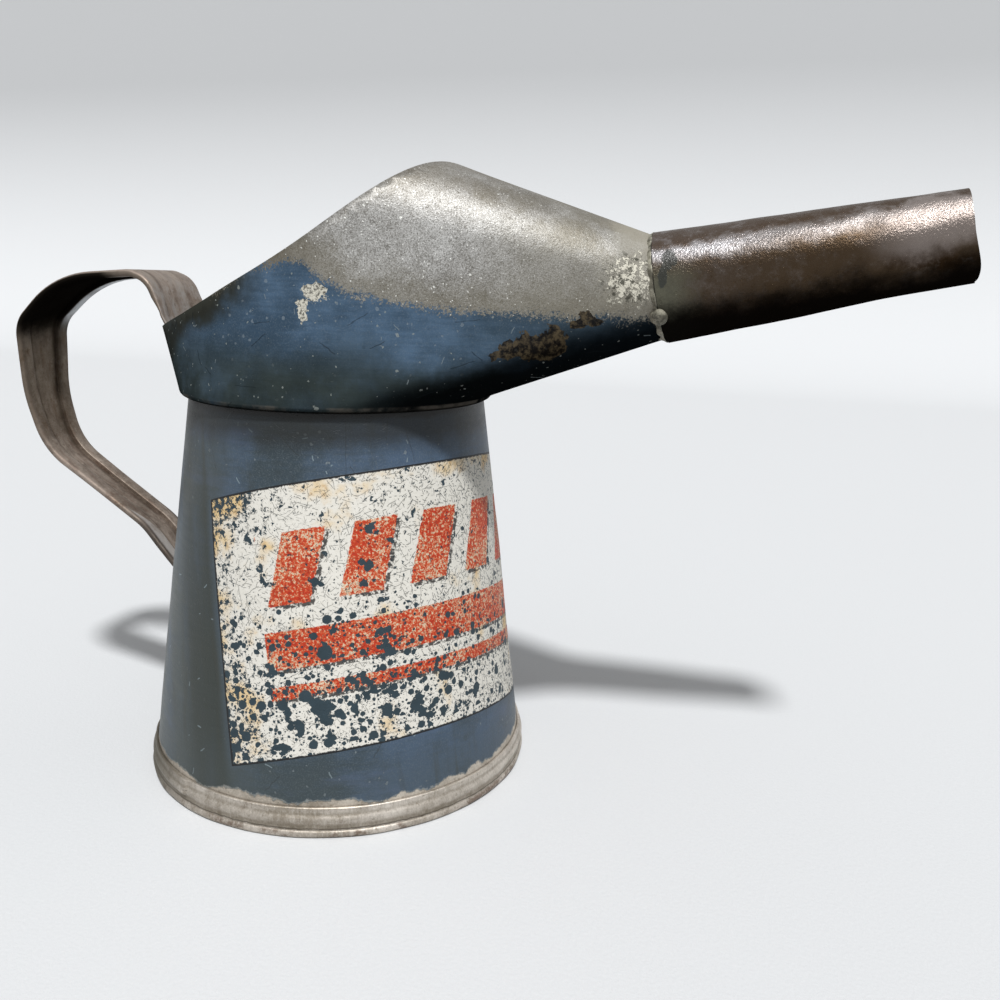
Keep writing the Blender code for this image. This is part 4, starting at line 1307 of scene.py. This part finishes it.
handle_tin, shader, place = finish("browned_handle_tin", specular=0.0)
tin = old_tin(place, (176, 163, 151), (116, 104, 93), (106, 84, 68), 0.5)
where = split(place)
inside, along, from_edge = read("inside"), read("along"), read("from_edge")
rub = cloud(stretched(place, (0.4, 2.2, 0.4)), 300, 4, 0.6)
handled = step(where.z, 0.152, 0.162) * step(cloud(place, 60, 4), 0.34, 0.6)
# painted shade: dark lines beside the folded hems, where the folds shade the strap
hem_fold_shade = step(from_edge, 0.0047, 0.006) * step(from_edge, 0.0076, 0.0063) * step(cloud(place, 70, 4), 0.25, 0.55)
worn = step(from_edge, 0.0021, 0.0009) * step(cloud(place, 160, 4), 0.3, 0.55)
# painted shade: the inside of the shoulder is painted near black and made non-metallic, where the strap shades
# itself
held = cloud(place, 90, 4) * 0.016 + (along - 0.008)
held = step(held, 0.038, 0.048) * step(held, 0.102, 0.086) * step(inside, 0.35, 0.85)
lit_fold = step(from_edge, 0.0052, 0.004) * step(where.y, 0, 0.001) * step(along, 0.094, 0.084)
held = held * (1 - lit_fold)
# oil and painted shade: the strap's inner face is darkened along most of its length, above the tail
inner = step(inside, 0.35, 0.85) * step(along, 0.15, 0.11)
browned = step(inside, 0.6, 0.2) * step(rub, 0.36, 0.62, 0.6, 1)
blotches = cloud(stretched(place, (0.7, 1.2, 0.7)), 190, 5, 0.7)
# wear and painted reflection: a pale patch on the outer face near the strap's start, above the hood's rim
rubbed = step(along, 0.034, 0.022) * step(inside, 0.6, 0.2) * step(blotches, 0.38, 0.66)
fold_reach = step(along, 0.16, 0.208, 0, 0.0085)
tail_fold = step(fold_reach - from_edge, 0, 0.0006) * step(where.y, 0, -0.001) * step(inside, 0.35, 0.85)
tail_fold = tail_fold * step(from_edge, 0.0008, 0.002) * step(blotches, 0.3, 0.56, 0.45, 1)
tail_edge = step(along, 0.168, 0.188) * step(from_edge, 0.0022, 0.001) * 0.8
colour = painted(
    tin.color,
    (step(rub, 0.46, 0.7) * 0.45, 116, 90, 76),
    (handled * 0.35, 186, 176, 166),
    (hem_fold_shade * 0.55, 54, 44, 36),
    (worn * 0.4, 160, 148, 140),
    (inner * 0.52, 74, 63, 44),
    (lit_fold * step(inside, 0.35, 0.85) * 0.85, 206, 210, 214),
    (held * 0.95, 7, 6, 5),
    (browned * (1 - held) * 0.24, 124, 106, 94),
    (step(blotches, 0.48, 0.66) * (1 - held) * 0.4, 74, 60, 50),
    (tail_edge, 62, 58, 54),
    (either(rubbed * 0.8, tail_fold) * 0.72, 202, 198, 194),
)
rough = worn * 0.16 + tin.roughness
surface(shader, colour, step(held, 0, 1, 0.7, 0), rough, tin.height)
finished("handle_strap_dressed", bm, [handle_tin], "handle_tin", "handle_strap", crease=45)


# ---- Handle solders, neck ring, seam run and base fillet ----
# Each joint is sweated with soft solder: a run across the strap's end inside the mouth, a pad round its tail,
# a ring inside the neck, a run down the side seam and a fillet under the base. All are dull grey and lumpy.

SOLDER_LUMP_SIZE = 0.0030
SOLDER_EDGE = 0.0012
SOLDER_ROUNDS = 3
dull_solder = plain_tin("dull_solder", (176, 172, 162), (112, 106, 96), (86, 76, 60), 0.55, 0.7)

for node, slot, cuts, depth, swell in (
    ("handle_top_solder", "top_solder", 3, 0.00060, 0.35),
    ("handle_bottom_solder", "tail_solder", 4, 0.00075, 0.42),
    ("neck_solder", "neck_solder", 2, 0.00030, -0.35),
    ("side_seam_solder", "seam_solder", 6, 0.00020, -0.35),
    ("base_solder", "base_solder", 1, 0.00015, -0.35),
):
    bm = bmesh.new()
    bm.from_mesh(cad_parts[node].data)
    bmesh.ops.remove_doubles(bm, verts=bm.verts, dist=1e-6)
    long_edges = [edge for edge in bm.edges if edge.calc_length() > SOLDER_EDGE]
    bmesh.ops.subdivide_edges(bm, edges=long_edges, cuts=cuts, use_grid_fill=True)
    bmesh.ops.triangulate(bm, faces=bm.faces)
    for _ in range(SOLDER_ROUNDS):
        bmesh.ops.smooth_vert(bm, verts=bm.verts, factor=0.3, use_axis_x=True, use_axis_y=True, use_axis_z=True)
    bmesh.ops.recalc_face_normals(bm, faces=bm.faces)
    lumpy(bm, SOLDER_LUMP_SIZE, depth, swell)
    finished(node + "_dressed", bm, [dull_solder], slot, node, crease=60)


# ---- Floor, light and camera ----
# A pale sheet swept up behind the pourer, a key from above, in front and a little to the right, and a soft fill
# from all round.

FLOOR_HALF = 2.5
SWEEP_RADIUS = 0.6
SWEEP_BACK = 1.2
SWEEP_STEPS = 24
WALL_RISE = 2.0
bm = bmesh.new()
left = bm.verts.new((-FLOOR_HALF, -FLOOR_HALF, 0))
right = bm.verts.new((FLOOR_HALF, -FLOOR_HALF, 0))
edge = bm.edges.new((left, right))


def carried(edges, move):
    made = bmesh.ops.extrude_edge_only(bm, edges=edges)["geom"]
    bmesh.ops.translate(bm, vec=move, verts=[item for item in made if isinstance(item, bmesh.types.BMVert)])
    return [item for item in made if isinstance(item, bmesh.types.BMEdge) and len(item.link_faces) == 1]


open_edges = carried([edge], (0, FLOOR_HALF + SWEEP_BACK, 0))
edge = [item for item in open_edges if item.verts[0].co.y == item.verts[1].co.y]
bent = bmesh.ops.spin(
    bm,
    geom=edge + list(edge[0].verts),
    cent=(0, SWEEP_BACK, SWEEP_RADIUS),
    axis=(1, 0, 0),
    angle=math.pi / 2,
    steps=SWEEP_STEPS,
)
last = [item for item in bent["geom_last"] if isinstance(item, bmesh.types.BMEdge)]
carried(last, (0, 0, WALL_RISE))
bmesh.ops.recalc_face_normals(bm, faces=bm.faces)
mesh = bpy.data.meshes.new("floor")
bm.to_mesh(mesh)
bm.free()
mesh.shade_smooth()
floor = bpy.data.objects.new("floor", mesh)
bpy.context.scene.collection.objects.link(floor)
paper, shader, place = finish("pale_paper")
fibres = cloud(place, 900, 3, 0.6)
rays = add("LightPath").outputs
seen = either(rays["Is Camera Ray"], rays["Is Glossy Ray"], rays["Is Transmission Ray"])
pale = mix(fibres, tone(214, 216, 218), tone(220, 222, 224))
surface(shader, mix(seen, tone(120, 121, 122), pale), 0, 0.9, fibres, 0.0001)
mesh.materials.append(paper)

world = bpy.data.worlds.new("studio")
bpy.context.scene.world = world
world.use_nodes = True
work_on(world.node_tree)
rays = add("LightPath").outputs
seen = either(rays["Is Camera Ray"], rays["Is Glossy Ray"], rays["Is Transmission Ray"])
background = tree.nodes["Background"].inputs
feed(mix(seen, (0.42, 0.42, 0.42, 1), tone(206, 208, 210)), background["Color"])
background["Strength"].default_value = 1.0

KEY_POWER = 2.9
KEY_WIDTH = math.radians(6)
KEY_FROM = Vector((0.205, -0.455, 0.867))
key_light = bpy.data.lights.new("key", "SUN")
key_light.energy = KEY_POWER
key_light.angle = KEY_WIDTH
key = bpy.data.objects.new("key", key_light)
key.rotation_euler = KEY_FROM.to_track_quat("Z", "Y").to_euler()
bpy.context.scene.collection.objects.link(key)

CAMERA_PLACE = Vector((0.10524, -0.28568, 0.16303))
CAMERA_RIGHT = Vector((0.95833, 0.28423, 0.02843))
CAMERA_UP = Vector((-0.09123, 0.21022, 0.97339))
CAMERA_LENS = 33.86
camera = bpy.data.objects.new("camera", bpy.data.cameras.new("camera"))
camera.data.lens = CAMERA_LENS
camera.data.clip_start = 0.01
turn = Matrix((CAMERA_RIGHT, CAMERA_UP, CAMERA_RIGHT.cross(CAMERA_UP))).transposed()
camera.matrix_world = Matrix.Translation(CAMERA_PLACE) @ turn.to_4x4()
bpy.context.scene.collection.objects.link(camera)
bpy.context.scene.camera = camera
bpy.context.scene.view_settings.view_transform = "Standard"

bpy.context.view_layer.update()
